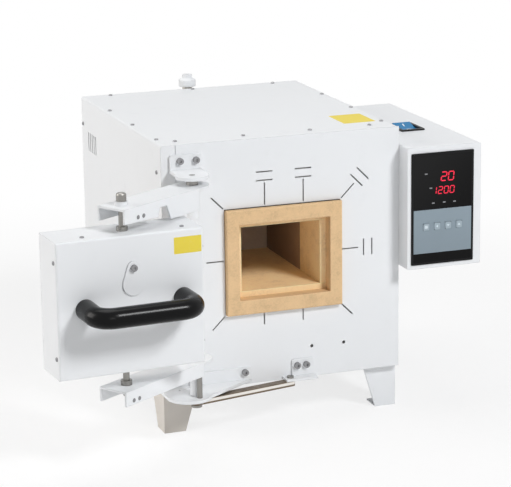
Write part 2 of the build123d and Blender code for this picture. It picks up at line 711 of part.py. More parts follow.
def make_lower_bracket():
    top = lower_plate_top
    low = top - bracket_sheet
    end_x, end_y = hinge_ax - 8, hinge_ay + 4
    nose = Pos(end_x, end_y) * Circle(lower_plate_radius)
    span = hypot(lower_plate_end_x - end_x, end_y)
    turn = atan2(-end_y, lower_plate_end_x - end_x)
    side = turn - atan2(lower_plate_radius, sqrt(span ** 2 - lower_plate_radius ** 2))
    touch_x = end_x + lower_plate_radius * sin(side)
    touch_y = end_y - lower_plate_radius * cos(side)
    wing = Polygon((touch_x, touch_y), (lower_plate_end_x, 0), (end_x - lower_plate_radius, 0),
                   (end_x - lower_plate_radius, end_y), align=None)
    plate = slab(nose + wing, low, top)
    plate -= block(-half_width * 2, half_width * 2, 0, half_width, low - 1, top + 1)
    upstand = block(hinge_ax + 3, lower_plate_end_x, -3, 0, top - 1, top + 16)
    upstand = fillet(upstand.edges().filter_by(Axis.Y).group_by(Axis.Z)[-1], 4)
    plate += upstand
    slot_long, slot_wide = 30.0, 3.4
    slot_x, slot_y = hinge_ax + 6, hinge_ay + 29
    plate -= slab(Pos(slot_x, slot_y) * Rot(0, 0, 20) * SlotOverall(slot_long, slot_wide), low - 1, top + 1)
    plate -= rod(slot_x - 21, slot_y - 6, low - 1, top + 1, 1.6)
    plate -= rod(hinge_ax, hinge_ay, low - 1, top + 1, hinge_pin_radius)
    plate -= rod(hinge_ax, hinge_ay - guide_offset, low - 1, top + 1, guide_pin_radius)
    for x, z in lower_plate_screws:
        plate -= bar_y(x, z, -4, 1, hex_shank + shank_clearance)
    parts["lower_hinge_plate"] = plate
    stay_top = low - stay_washer
    stay_low = stay_top - stay_height
    pin = rod(hinge_ax, hinge_ay, stay_low - 3, lower_arm_top - arm_sheet - 1, hinge_pin_radius)
    pin += rod(hinge_ax, hinge_ay, stay_low - 3, stay_low, hinge_pin_radius + 3)
    pin += rod(hinge_ax, hinge_ay, stay_top, low, hinge_pin_radius + 3.5)
    guide_low, guide_top = guide_levels()
    anchor = rod(hinge_ax, hinge_ay - guide_offset, low - 4, guide_top + 1.5, guide_pin_radius)
    anchor += rod(hinge_ax, hinge_ay - guide_offset, low - 3, low, guide_pin_radius + 2)
    anchor += rod(hinge_ax, hinge_ay - guide_offset, top, guide_low - seat_gap, guide_pin_radius + 1)
    stay_end = rod(stay_anchor_x, stay_anchor_y, stay_low - 1, stay_top + 3, stay_pin_radius)
    stay_end += rod(stay_anchor_x, stay_anchor_y, stay_top + 3, stay_top + 5.5, stay_pin_radius * 1.5)
    parts["lower_hinge_pins"] = group([pin, anchor, stay_end])


def guide_levels():
    """Lowest and highest Z of the guide rod inside the lower arm."""
    low = lower_arm_top - arm_depth + 1.0
    return low, low + guide_rod_height


def make_stay():
    stay_top = lower_plate_top - bracket_sheet - stay_washer
    stay_low = stay_top - stay_height
    far_x, far_y = stay_anchor_x, stay_anchor_y
    length = hypot(far_x - hinge_ax, far_y - hinge_ay)
    angle = degrees(atan2(far_y - hinge_ay, far_x - hinge_ax))
    half = stay_width / 2
    outline = Pos(length / 2, 0) * SlotCenterToCenter(length, stay_width)
    bar = slab(outline, 0, stay_height)
    hollow = Pos(length / 2, 0) * Rectangle(length - 2 * half - 4, stay_width - 3)
    bar -= slab(hollow, 0 - 1, stay_height - 1.5)
    bar -= rod(0, 0, -1, stay_height + 1, hinge_pin_radius)
    bar -= rod(length, 0, -1, stay_height + 1, stay_pin_radius)
    parts["stay_bar"] = Pos(hinge_ax, hinge_ay, stay_low) * Rot(0, 0, angle) * bar
    x0, x1 = stay_bracket_x0, stay_bracket_x1
    foot = block(x0, x1, -3, 0, stay_top, stay_bracket_top)
    foot = fillet(foot.edges().filter_by(Axis.Y).group_by(Axis.Z)[-1], 2)
    foot += block(stay_foot_x0, x1, far_y - 8, 0, stay_top, stay_top + 3)
    for x, z in stay_screws:
        foot -= bar_y(x, z, -4, 1, hex_shank + shank_clearance)
    foot -= rod(far_x, far_y, stay_top - 1, stay_top + 4, stay_pin_radius)
    parts["stay_bracket"] = foot


arm_place = Pos(hinge_ax, hinge_ay, 0) * Rot(0, 0, arm_heading)


def make_arm(top, hub_low, end, wall_profile):
    """A channel arm drawn along +X from the hinge; wall_profile gives the front wall's lower edge."""
    half = arm_width / 2
    outline = Pos(end / 2, 0) * Rectangle(end, arm_width) + Circle(half)
    arm = slab(outline, top - arm_sheet, top)
    side = Polygon(*wall_profile, align=None)
    wall = Rot(90, 0, 0) * extrude(side, arm_sheet, dir=(0, 0, 1))
    arm += Pos(0, half, top) * wall
    arm += block(0, end, -half, -half + arm_sheet, top - arm_depth, top)
    arm += rod(0, 0, hub_low, top - arm_sheet, hinge_pin_radius + hub_wall)
    return arm


def grub_screws(top, first):
    """Two small set screws through the front wall of an arm, from a place along it."""
    face = arm_width / 2
    return [bar_y(first + step, top - grub_drop, face - arm_sheet, face + 0.2, grub_radius)
            for step in (0, grub_pitch)]


grub_radius = 2.6


def make_arms():
    top = upper_arm_top
    end = arm_length + upper_arm_tail
    notch = (74.0, 86.0)
    shallow = 9.0
    deep = 27.0
    profile = [(12, 0), (end, 0), (end, -arm_depth), (notch[1] + 4, -arm_depth - 2), (notch[1], -shallow),
               (notch[0], -shallow), (notch[0] - 8, -deep), (12, -deep)]
    upper = make_arm(top, top - arm_hub_depth, end, profile)
    boss = top + top_boss_height
    upper += rod(arm_length, 0, top, boss, hinge_pin_radius + 4)
    upper -= rod(arm_length, 0, top - arm_sheet - 1, boss + 1, hinge_pin_radius + running_fit)
    upper -= rod(0, 0, top - arm_hub_depth - 1, top + 1, hinge_pin_radius + running_fit)
    upper_grubs = grub_screws(top, arm_length - 15.5)
    parts["upper_arm"] = arm_place * (upper - group(upper_grubs))
    top = lower_arm_top
    end = arm_length + lower_arm_tail
    profile = [(10, 0), (end, 0), (end, -arm_depth), (10, -arm_depth)]
    lower = make_arm(top, lower_plate_top + seat_gap, end, profile)
    lower -= rod(arm_length, 0, top - arm_sheet - 1, top + 1, hinge_pin_radius + running_fit)
    lower -= rod(0, 0, lower_plate_top - 1, top - arm_sheet - 0.7, hinge_pin_radius + running_fit)
    lower_grubs = grub_screws(top, arm_length + 1)
    parts["lower_arm"] = arm_place * (lower - group(lower_grubs))
    parts["arm_grub_screws"] = arm_place * group(upper_grubs + lower_grubs)

    low, high = guide_levels()
    eye = Circle(guide_eye_radius)
    link = Pos(arm_length / 2, 0) * Rectangle(arm_length, guide_rod_width)
    link = link + eye + Pos(arm_length, 0) * eye
    guide = slab(link, low, high)
    guide -= rod(0, 0, low - 1, high + 1, guide_pin_radius + running_fit)
    guide -= rod(arm_length, 0, low - 1, high + 1, guide_pin_radius + guide_slack)
    parts["guide_rod"] = Pos(0, -guide_offset, 0) * arm_place * guide


# Door, drawn closed about its pivot B, then turned and carried to the open place
def make_door():
    hw = door_width / 2
    z0, z1 = door_base_z, door_base_z + door_height
    t = door_sheet
    shell = block(-hw, hw, -door_front, door_back - t, z0, z1)
    shell = fillet(shell.faces().sort_by(Axis.Y)[0].edges(), door_bend)
    shell -= block(-hw + t, hw - t, -door_front + t, door_back, z0 + t, z1 - t)
    shell -= bar_y(peephole_x, peephole_z, -door_front - 1, -door_front + t + 1, peephole_radius)
    shell -= rod(0, 0, z1 - t - 1, z1 + 1, hinge_pin_radius)
    shell -= rod(0, 0, z0 - 1, z0 + t + 1, hinge_pin_radius)
    for s in (-1, 1):
        stud_x = handle_x + s * handle_spacing / 2
        shell -= bar_y(stud_x, handle_z, -door_front - 1, -door_front + t + 1, handle_stud)
    shell -= bar_y(cover_x, cover_z, -door_front - 1, -door_front + t + 1, cover_screw)
    door_screws = []
    for s in (-1, 1):
        for z in (z0 + 26, z1 - 25):
            shell -= bar_x(-20, z, s * hw - 4, s * hw + 4, shank_hole)
            door_screws.append(Pos(s * hw, -20, z) * Rot(0, 90 * s, 0) * pan_screw(4.0))
    for x in (-55.0, 70.0):
        shell -= rod(x, -14, z1 - t - 1, z1 + 1, shank_hole)
        door_screws.append(Pos(x, -14, z1) * pan_screw(4.0))
    plug_w = mouth_width - 2 * plug_clearance
    plug_h = mouth_height - 2 * plug_clearance
    frame_w = plug_w + 2 * seat_gap
    frame_h = plug_h + 2 * seat_gap
    z = chamber_centre_z
    back = block(-hw, hw, door_back - t, door_back, z0, z1)
    back -= block(-frame_w / 2, frame_w / 2, door_back - t - 1, door_back + 1,
                  z - frame_h / 2, z + frame_h / 2)
    brick = block(-hw + 6, hw - 6, -door_front + 12, door_back - t, z0 + 6, z1 - 6)
    plug_base = Plane(origin=(0, door_back - t, z), x_dir=(1, 0, 0), z_dir=(0, 1, 0))
    brick += extrude(plug_base * Rectangle(plug_w, plug_h), plug_depth + t, taper=plug_taper * 2)
    brick -= bar_y(peephole_x, peephole_z, -door_front, door_back + plug_depth + 1, peephole_radius)
    glass = bar_y(peephole_x, peephole_z, -door_front + 2, -door_front + 10, peephole_radius)
    socket_depth = 30.0
    brick -= rod(0, 0, z1 - socket_depth, z1, hinge_pin_radius)
    brick -= rod(0, 0, z0, z0 + socket_depth, hinge_pin_radius)
    blanket = block(-hw + t, hw - t, -door_front + t, -door_front + 12, z0 + t, z1 - t)
    blanket -= bar_y(peephole_x, peephole_z, -door_front, -door_front + 13, peephole_radius)
    blanket -= bar_y(cover_x, cover_z, -door_front, -door_front + 13, cover_screw)
    for cutter in door_screws:
        blanket -= cutter
    head_low = upper_arm_top + top_boss_height + seat_gap
    upper_pin = rod(0, 0, z1 - socket_depth, head_low, hinge_pin_radius)
    upper_pin += rod(0, 0, z1, z1 + 5, hinge_pin_radius + 3)
    head = rod(0, 0, head_low, head_low + top_bolt_height, hinge_pin_radius + 2.2)
    upper_pin += fillet(head.edges().filter_by(GeomType.CIRCLE).sort_by(Axis.Z)[-1], 3.0)
    guide_low, guide_high = guide_levels()
    lever_low = guide_high + seat_gap
    lever_high = lower_arm_top - arm_sheet - 2.0
    lower_pin = rod(0, 0, lever_low, z0 + socket_depth, hinge_pin_radius)
    lower_pin += rod(0, 0, lower_arm_top + seat_gap, lower_arm_top + 6, hinge_pin_radius + 3)
    lever_turn = -90 - door_yaw_open / 2
    lever = Pos(guide_offset / 2, 0) * SlotCenterToCenter(guide_offset, 9)
    lever = slab(lever, lever_low, lever_high)
    lever += rod(guide_offset, 0, guide_low - 0.5, lever_high, guide_pin_radius)
    lever -= rod(0, 0, lever_low - 1, lever_high + 1, hinge_pin_radius)
    parts["door_shell"] = shell
    parts["sight_glass"] = glass
    parts["door_back_plate"] = back
    parts["door_brick"] = brick
    parts["door_blanket"] = blanket
    parts["door_pins"] = group([upper_pin, lower_pin])
    parts["guide_lever"] = Rot(0, 0, lever_turn) * lever
    parts["door_screws"] = group(door_screws + [make_cover()])
    parts["door_handle"] = make_handle()
    door_place = Pos(hinge_bx, hinge_by, 0) * Rot(0, 0, door_yaw_open)
    for name in door_nodes:
        parts[name] = door_place * parts[name]


door_nodes = ["door_shell", "sight_glass", "door_back_plate", "door_brick", "door_blanket", "door_pins",
              "guide_lever", "door_screws", "door_handle", "peephole_cover"]
cover_x = peephole_x
cover_z = 264.5
cover_neck = 8.0
cover_radius = 14.0
cover_sheet = 1.5
cover_screw = 1.6
handle_stud = 3.0


def make_handle():
    y0, y1 = -door_front, -door_front - handle_reach
    half = handle_spacing / 2
    route = FilletPolyline((-half, y0, handle_z), (-half, y1, handle_z), (half, y1, handle_z),
                           (half, y0, handle_z), radius=handle_bend)
    start = Plane(origin=(-half, y0, handle_z), z_dir=(0, -1, 0))
    handle = sweep(start * Circle(handle_radius), path=route)
    for s in (-1, 1):
        handle += bar_y(s * half, handle_z, y0, y0 + door_sheet, handle_stud)
    return Pos(handle_x, 0, 0) * handle


def make_cover():
    """The flap that hangs over the peephole; the screw it hangs from is returned."""
    y0 = -door_front
    flap = Pos(peephole_x, cover_z) * Circle(cover_neck) + Pos(peephole_x, peephole_z) * Circle(cover_radius)
    plate = Rot(90, 0, 0) * extrude(make_hull(flap.edges()), cover_sheet)
    plate = Pos(0, y0 - seat_gap, 0) * plate
    plate -= bar_y(cover_x, cover_z, y0 - 3, y0, cover_screw + running_fit)
    screw = bar_y(cover_x, cover_z, y0 - 2.2, y0 + 8, cover_screw)
    head = bar_y(cover_x, cover_z, y0 - 5.4, y0 - 2.1, 4.0)
    head -= Pos(cover_x, y0 - 5.4, cover_z) * Rot(90, 0, 0) * extrude(RegularPolygon(2.0, 6), 1.6, both=True)
    parts["peephole_cover"] = plate
    return screw + head


def make_fasteners():
    casing = [Pos(x, y, top_z) * pan_screw(screw_length) for x, y in top_screws]
    for y, z in side_screws:
        casing.append(Pos(-half_width, y, z) * Rot(0, -90, 0) * pan_screw(screw_length))
        if not control_base_z - 6 < z < control_base_z + control_height + 6:
            casing.append(Pos(half_width, y, z) * Rot(0, 90, 0) * pan_screw(screw_length))
    parts["casing_screws"] = group(casing)
    socket = []
    for places, face in ((bracket_screws, -bracket_sheet), (stay_screws, -3), (lower_plate_screws, -3)):
        for x, z in places:
            socket.append(Pos(x, face, z) * Rot(90, 0, 0) * socket_screw(front_sheet - face + 2))
    parts["bracket_screws"] = group(socket)


parts["outer_casing"] = make_casing()
parts["front_panel"] = make_front_panel()
parts["rear_panel"] = make_rear_panel()
parts["top_rails"] = make_top_rails()
parts["base_tray"] = make_base_tray()
for name, sx, sy in (("front_left_foot", -1, -1), ("front_right_foot", 1, -1),
                     ("rear_left_foot", -1, 1), ("rear_right_foot", 1, 1)):
    parts[name] = make_foot(sx, sy)
parts["mouth_collar"] = make_collar()
make_chamber()
make_insulation()
make_exhaust()
make_thermocouple()
make_controller()
make_switch()
make_power_parts()
make_upper_bracket()
make_lower_bracket()
make_stay()
make_arms()
make_door()
make_fasteners()

boxes = [part.bounding_box() for part in parts.values()]
low = Vector(min(b.min.X for b in boxes), min(b.min.Y for b in boxes), min(b.min.Z for b in boxes))
high = Vector(max(b.max.X for b in boxes), max(b.max.Y for b in boxes), max(b.max.Z for b in boxes))
centre = Pos(-(low.X + high.X) / 2, -(low.Y + high.Y) / 2, -low.Z)

os.makedirs("parts", exist_ok=True)
for name, part in parts.items():
    export_step(centre * part, f"parts/{name}.step")

shift = centre.position
print("nodes", len(parts), "size", high - low, "shift", shift)
print("hinge axis", hinge_ax + shift.X, hinge_ay + shift.Y, "door pivot", hinge_bx + shift.X,
      hinge_by + shift.Y)
print("swing to closed", arm_swing, "door ratio", door_ratio)
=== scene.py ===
"""Looks of a bench box resistance furnace with a swing-out door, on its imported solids.

Lengths in the assemblies are millimetres in the drawing's own frame: X along the front,
Y into the furnace from the face of the front panel, Z up from the bench. Lengths in the
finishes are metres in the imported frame, and noise is given as waves to the metre.
"""

import json
import logging
import math
from dataclasses import dataclass, replace
from enum import Enum
from typing import Any, Dict, List, Optional, Sequence, Tuple, Union

import bpy
import numpy as np
from mathutils import Matrix, Vector

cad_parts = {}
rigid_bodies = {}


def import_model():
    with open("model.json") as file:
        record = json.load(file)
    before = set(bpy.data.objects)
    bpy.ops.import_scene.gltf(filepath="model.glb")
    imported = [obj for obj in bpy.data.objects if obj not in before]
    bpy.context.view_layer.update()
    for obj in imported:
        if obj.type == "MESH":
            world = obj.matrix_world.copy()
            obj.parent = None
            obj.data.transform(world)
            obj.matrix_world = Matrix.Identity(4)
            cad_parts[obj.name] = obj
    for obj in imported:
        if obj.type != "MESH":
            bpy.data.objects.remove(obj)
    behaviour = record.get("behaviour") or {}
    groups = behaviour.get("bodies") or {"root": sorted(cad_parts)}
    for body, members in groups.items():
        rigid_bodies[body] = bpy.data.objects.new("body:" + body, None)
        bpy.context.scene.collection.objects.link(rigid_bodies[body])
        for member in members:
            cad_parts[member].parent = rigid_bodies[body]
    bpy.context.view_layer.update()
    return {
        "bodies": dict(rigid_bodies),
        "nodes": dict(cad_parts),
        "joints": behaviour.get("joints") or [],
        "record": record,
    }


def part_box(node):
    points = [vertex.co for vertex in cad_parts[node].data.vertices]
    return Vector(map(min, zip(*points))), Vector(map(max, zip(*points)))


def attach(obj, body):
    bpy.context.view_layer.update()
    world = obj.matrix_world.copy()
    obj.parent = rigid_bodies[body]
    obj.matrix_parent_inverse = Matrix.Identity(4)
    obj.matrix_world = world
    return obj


LOG = logging.getLogger("furnace")
MM = 0.001
Colour = Tuple[float, float, float]
Place = Tuple[float, float, float]
Pair = Tuple[float, float]
Span = Tuple[float, float]
Box = Tuple[float, float, float, float]
Value = Union["Sock", float]
Key = Union[int, str]

ALL_WHITE = (1.0, 1.0, 1.0)
EVEN = (1.0, 1.0, 1.0)
BEYOND = 10.0           # metres, past any place on the furnace
LABEL_DEPTH = 0.12      # millimetres, as are the next three
LABEL_BEVEL = 0.04
PRINT_DEPTH = 0.1
PRINT_BEVEL = 0.03


def linear(red: float, green: float, blue: float) -> Colour:
    """Turn a screen colour into the linear colour that shaders take.

    Args:
        red: share of red, 0 to 255.
        green: share of green.
        blue: share of blue.

    Returns:
        The three linear shares, 0 to 1.
    """
    parts = np.array([red, green, blue]) / 255.0
    curve = np.where(parts <= 0.04045, parts / 12.92, ((parts + 0.055) / 1.055) ** 2.4)
    return tuple(float(part) for part in curve)


def toned(colour: Colour, share: float, lift: float = 0.0) -> Colour:
    """Return a colour times a share, raised by a lift, and at most white."""
    return tuple(min(1.0, part * share + lift) for part in colour)


# Shader graph: sockets that take part in Python expressions


class Sock:
    """One output socket of a shader graph that adds, subtracts, multiplies and divides."""

    def __init__(self, graph: "Graph", socket: bpy.types.NodeSocket) -> None:
        """Keep the graph that new Math nodes go into and the socket itself."""
        self.graph = graph
        self.socket = socket

    def _math(self, operation: str, first: Value, second: Value) -> "Sock":
        """Add one Math node for an operation on two values."""
        return self.graph.node("ShaderNodeMath", {"operation": operation}, {0: first, 1: second})

    def __add__(self, other: Value) -> "Sock":
        """Return self + other."""
        return self._math("ADD", self, other)

    def __radd__(self, other: float) -> "Sock":
        """Return other + self."""
        return self._math("ADD", other, self)

    def __sub__(self, other: Value) -> "Sock":
        """Return self - other."""
        return self._math("SUBTRACT", self, other)

    def __rsub__(self, other: float) -> "Sock":
        """Return other - self."""
        return self._math("SUBTRACT", other, self)

    def __mul__(self, other: Value) -> "Sock":
        """Return self * other."""
        return self._math("MULTIPLY", self, other)

    def __rmul__(self, other: float) -> "Sock":
        """Return other * self."""
        return self._math("MULTIPLY", other, self)

    def __truediv__(self, other: Value) -> "Sock":
        """Return self / other."""
        return self._math("DIVIDE", self, other)

    def __rtruediv__(self, other: float) -> "Sock":
        """Return other / self."""
        return self._math("DIVIDE", other, self)

    def __pow__(self, other: Value) -> "Sock":
        """Return self to a power."""
        return self._math("POWER", self, other)

    def __rpow__(self, other: float) -> "Sock":
        """Return other to the power self."""
        return self._math("POWER", other, self)

    def high(self, other: Value) -> "Sock":
        """Return the greater of self and other."""
        return self._math("MAXIMUM", self, other)

    def step(self, start: float, end: float) -> "Sock":
        """Return 0 below start, 1 above end, and a smooth rise between."""
        return self.graph.node("ShaderNodeMapRange", {"interpolation_type": "SMOOTHSTEP"},
                               {0: self, 1: start, 2: end, 3: 0.0, 4: 1.0})

    def beside(self, out: Key) -> "Sock":
        """Return another output of the same node."""
        return Sock(self.graph, self.socket.node.outputs[out])


@dataclass(frozen=True)
class Waves:
    """One layer of smooth noise: waves to the metre, octaves, and weight of the finer ones."""

    scale: float
    detail: float = 3.0
    rough: float = 0.55


class Graph:
    """The node tree of a material or of the world."""

    def __init__(self, owner: Union[bpy.types.Material, bpy.types.World]) -> None:
        """Empty the owner's tree, ready for new nodes."""
        owner.use_nodes = True
        self.tree = owner.node_tree
        self.tree.nodes.clear()

    def node(self, kind: str, settings: Optional[Dict[str, Any]] = None,
             sockets: Optional[Dict[Key, Any]] = None, out: Key = 0) -> Optional[Sock]:
        """Add a node.

        Args:
            kind: Blender's name of the node type.
            settings: properties, set before the sockets; "stops" are a colour ramp's.
            sockets: values or Socks by the input's name or number.
            out: which output is returned.

        Returns:
            The chosen output, or None for a node without outputs.
        """
        node = self.tree.nodes.new(kind)
        for key, value in (settings or {}).items():
            if key == "stops":
                self._stops(node, value)
            else:
                setattr(node, key, value)
        for key, value in (sockets or {}).items():
            self.feed(node.inputs[key], value)
        return Sock(self, node.outputs[out]) if node.outputs else None

    def feed(self, entry: bpy.types.NodeSocket, value: Any) -> None:
        """Link a Sock to an input, or set the input's own value.

        Args:
            entry: the input.
            value: a Sock, a number, a vector or a colour of three parts.
        """
        if isinstance(value, Sock):
            self.tree.links.new(value.socket, entry)
        elif isinstance(value, (tuple, list)) and entry.type == "RGBA" and len(value) == 3:
            entry.default_value = (*value, 1.0)
        else:
            entry.default_value = value

    @staticmethod
    def _stops(node: bpy.types.Node, stops: Sequence[Tuple[float, Colour]]) -> None:
        """Fill a colour ramp.

        Args:
            node: the ramp's node.
            stops: places from 0 to 1 with their colours.
        """
        ramp = node.color_ramp
        while len(ramp.elements) < len(stops):
            ramp.elements.new(1.0)
        for element, (place, colour) in zip(ramp.elements, stops):
            element.position = place
            element.color = (*colour, 1.0)

    def place(self) -> Sock:
        """Return the Object coordinates, which are metres in the frame."""
        return self.node("ShaderNodeTexCoord", out="Object")

    def axes(self) -> Tuple[Sock, Sock, Sock]:
        """Return X, Y and Z of the Object coordinates."""
        split = self.node("ShaderNodeSeparateXYZ", sockets={0: self.place()})
        return split, split.beside(1), split.beside(2)

    def noise(self, waves: Waves, stretch: Place = EVEN) -> Sock:
        """Make noise from 0 to 1.

        Args:
            waves: the layer's measures.
            stretch: how much finer it is along each axis, for grain with a direction.

        Returns:
            The noise's value.
        """
        at = self.place()
        if stretch != EVEN:
            at = self.node("ShaderNodeVectorMath", {"operation": "MULTIPLY"}, {0: at, 1: stretch})
        return self.node("ShaderNodeTexNoise", sockets={
            "Vector": at, "Scale": waves.scale, "Detail": waves.detail, "Roughness": waves.rough})

    def pits(self, scale: float) -> Sock:
        """Return the distance to the nearest of many scattered points."""
        return self.node("ShaderNodeTexVoronoi", {"feature": "F1"},
                         {"Vector": self.place(), "Scale": scale}, out="Distance")

    def blend(self, first: Any, second: Any, share: Value) -> Sock:
        """Mix two colours."""
        return self.node("ShaderNodeMix", {"data_type": "RGBA"},
                         {0: share, 6: first, 7: second}, out=2)

    def shades(self, share: Value, *stops: Tuple[float, Colour]) -> Sock:
        """Run a value through a colour ramp."""
        return self.node("ShaderNodeValToRGB", {"stops": stops}, {0: share})

    def bump(self, height: Value, depth: float, strength: float = 0.5,
             under: Optional[Sock] = None) -> Sock:
        """Bend the normal by a height.

        Args:
            height: 0 to 1.
            depth: metres that a height of 1 stands for.
            strength: share of the bend that is kept.
            under: a normal that is bent already.

        Returns:
            The bent normal.
        """
        sockets: Dict[Key, Any] = {"Height": height, "Distance": depth, "Strength": strength}
        if under:
            sockets["Normal"] = under
        return self.node("ShaderNodeBump", sockets=sockets, out="Normal")

    def rounded(self, radius: float) -> Sock:
        """Return a normal that runs smoothly over sharp edges, within a radius in metres."""
        return self.node("ShaderNodeBevel", {"samples": 4}, {"Radius": radius})

    def edge(self, rounded: Sock) -> Sock:
        """Return 1 on flat ground, and less where the rounded normal leaves the true one."""
        flat = self.node("ShaderNodeNewGeometry", out="True Normal")
        return self.node("ShaderNodeVectorMath", {"operation": "DOT_PRODUCT"},
                         {0: rounded, 1: flat}, out="Value")

    def mix(self, share: Value, first: Sock, second: Sock) -> Sock:
        """Mix two shaders."""
        return self.node("ShaderNodeMixShader", sockets={0: share, 1: first, 2: second})

    def seen(self) -> Sock:
        """Return 1 for rays from the camera, from gloss and through glass."""
        ray = self.node("ShaderNodeLightPath", out="Is Camera Ray")
        return ray.high(ray.beside("Is Glossy Ray")).high(ray.beside("Is Transmission Ray"))

    def close(self, shader: Sock, kind: str = "ShaderNodeOutputMaterial") -> None:
        """Link a shader to an output of that kind."""
        self.node(kind, sockets={"Surface": shader})


# Finishes


MADE: Dict[str, bpy.types.Material] = {}


@dataclass(frozen=True)
class Finish:
    """A finish of the furnace; surface() gives the values of its shader."""

    name: str
    colour: Colour

    def surface(self, graph: Graph) -> Dict[str, Any]:
        """Return the Principled shader's sockets and their values."""
        raise NotImplementedError

    def material(self) -> bpy.types.Material:
        """Make the material on first use.

        Returns:
            The one material of this name.
        """
        if self.name not in MADE:
            material = bpy.data.materials.new(self.name)
            graph = Graph(material)
            graph.close(graph.node("ShaderNodeBsdfPrincipled", sockets=self.surface(graph)))
            MADE[self.name] = material
        return MADE[self.name]


@dataclass(frozen=True)
class PowderCoat(Finish):
    """Fine-textured powder coat on sheet steel, a little uneven and faintly smudged."""

    roughness: float = 0.38
    dullest: float = 0.94
    peel: Waves = Waves(1500.0, 2.0)
    peel_depth: float = 0.00004
    dents: Waves = Waves(9.0, 2.0)
    dent_depth: float = 0.0006
    smudges: Waves = Waves(38.0, 5.0, 0.65)
    smudge_span: Span = (0.56, 0.78)
    rim: float = 0.0011

    def surface(self, graph: Graph) -> Dict[str, Any]:
        """Orange-peel bump of 0.6 mm grain, broad tone changes of a few percent, faint smudges.

        Args:
            graph: the material's node tree.

        Returns:
            The shader's sockets and their values.
        """
        peel, dents = graph.noise(self.peel), graph.noise(self.dents)
        smudge = graph.noise(self.smudges).step(*self.smudge_span)
        sheet = graph.bump(dents, self.dent_depth, under=graph.rounded(self.rim))
        return {"Base Color": graph.blend(self.colour, toned(self.colour, self.dullest),
                                          dents * 0.35 + smudge * 0.3),
                "Roughness": peel * 0.08 + smudge * 0.1 + self.roughness,
                "Specular IOR Level": 0.4,
                "Normal": graph.bump(peel, self.peel_depth, under=sheet)}


@dataclass(frozen=True)
class Refractory(Finish):
    """Cast or pressed ceramic: mottled, with open pores, darker specks, and paler edges that are a
    painted highlight.
    """

    depth_shade: Colour = (0.2, 0.12, 0.07)
    shade_depths: Span = (0.0, 1.0)
    depth_shade_most: float = 0.0
    seam_z: float = BEYOND
    seam_y: float = BEYOND
    seam_fade: Pair = (0.0006, 0.0004)
    gap_shade: Colour = (0.05, 0.04, 0.03)
    mottle: Waves = Waves(48.0, 4.0, 0.6)
    fine: Waves = Waves(420.0, 3.0, 0.6)
    specks: Waves = Waves(900.0, 2.0)
    speck_span: Span = (0.68, 0.76)
    pore_scale: float = 900.0
    pore_span: Span = (0.16, 0.34)
    pore_depth: float = 0.0003
    grain_depth: float = 0.0004
    rim: float = 0.0016
    edge_highlight_span: Span = (0.86, 0.99)

    def surface(self, graph: Graph) -> Dict[str, Any]:
        """Mottling at 20 and 3 mm, pores of about 1 mm; painted shade grows with depth into the
        chamber.

        The top edge is painted dark where it meets the panel, a painted shadow of that gap, from
        seam_z upwards and from seam_y backwards.

        Args:
            graph: the material's node tree.

        Returns:
            The shader's sockets and their values.
        """
        _, depth, up = graph.axes()
        fine = graph.noise(self.fine)
        speck = graph.noise(self.specks).step(*self.speck_span)
        pores = graph.pits(self.pore_scale).step(*self.pore_span)
        colour = graph.shades(graph.noise(self.mottle) * 0.6 + fine * 0.4,
                              (0.3, toned(self.colour, 0.8)), (0.5, self.colour),
                              (0.72, toned(self.colour, 1.1)))
        colour = graph.blend(colour, toned(self.colour, 0.55), speck * 0.25)
        soft = graph.rounded(self.rim)
        # Painted highlight: the colour is paler along the rounded edges, where light catches them.
        colour = graph.blend(toned(self.colour, 1.22, 0.03), colour,
                             graph.edge(soft).step(*self.edge_highlight_span))
        # Painted shade: the colour darkens towards depth_shade deeper into the chamber, where
        # little light reaches.
        colour = graph.blend(colour, self.depth_shade, depth.step(*self.shade_depths) * self.depth_shade_most)
        seam = (up.step(self.seam_z, self.seam_z + self.seam_fade[1])
                * depth.step(self.seam_y, self.seam_y + self.seam_fade[0]))
        grain = graph.bump(fine, self.grain_depth, 0.6, soft)
        # Painted shade: a near-black line along the top edge where the collar meets the panel, the
        # shadow in that gap.
        return {"Base Color": graph.blend(colour, self.gap_shade, seam),
                "Roughness": fine * 0.1 + 0.84, "Specular IOR Level": 0.25,
                "Normal": graph.bump(pores, self.pore_depth, 0.55, grain)}


@dataclass(frozen=True)
class Fibre(Finish):
    """Soft white fibre board with matted threads."""

    threads: Waves = Waves(60.0, 4.0, 0.7)
    along: Place = (1.0, 9.0, 14.0)
    across: Place = (11.0, 1.0, 10.0)
    mat_depth: float = 0.0012

    def surface(self, graph: Graph) -> Dict[str, Any]:
        """Threads are noise drawn out along two directions, laid over each other.

        Args:
            graph: the material's node tree.

        Returns:
            The shader's sockets and their values.
        """
        along = graph.noise(self.threads, self.along)
        across = graph.noise(self.threads, self.across)
        mat = along * 0.5 + across * 0.5
        return {"Base Color": graph.shades(mat, (0.36, toned(self.colour, 0.86)),
                                           (0.62, self.colour)),
                "Roughness": 0.95, "Specular IOR Level": 0.15,
                "Normal": graph.bump(mat, self.mat_depth, 0.8)}


class Grain(Enum):
    """The direction in which a metal piece was drawn or turned, as a stretch of its noise."""

    ALONG_X = (1.0, 26.0, 26.0)
    ALONG_Z = (26.0, 26.0, 1.0)
    NONE = EVEN


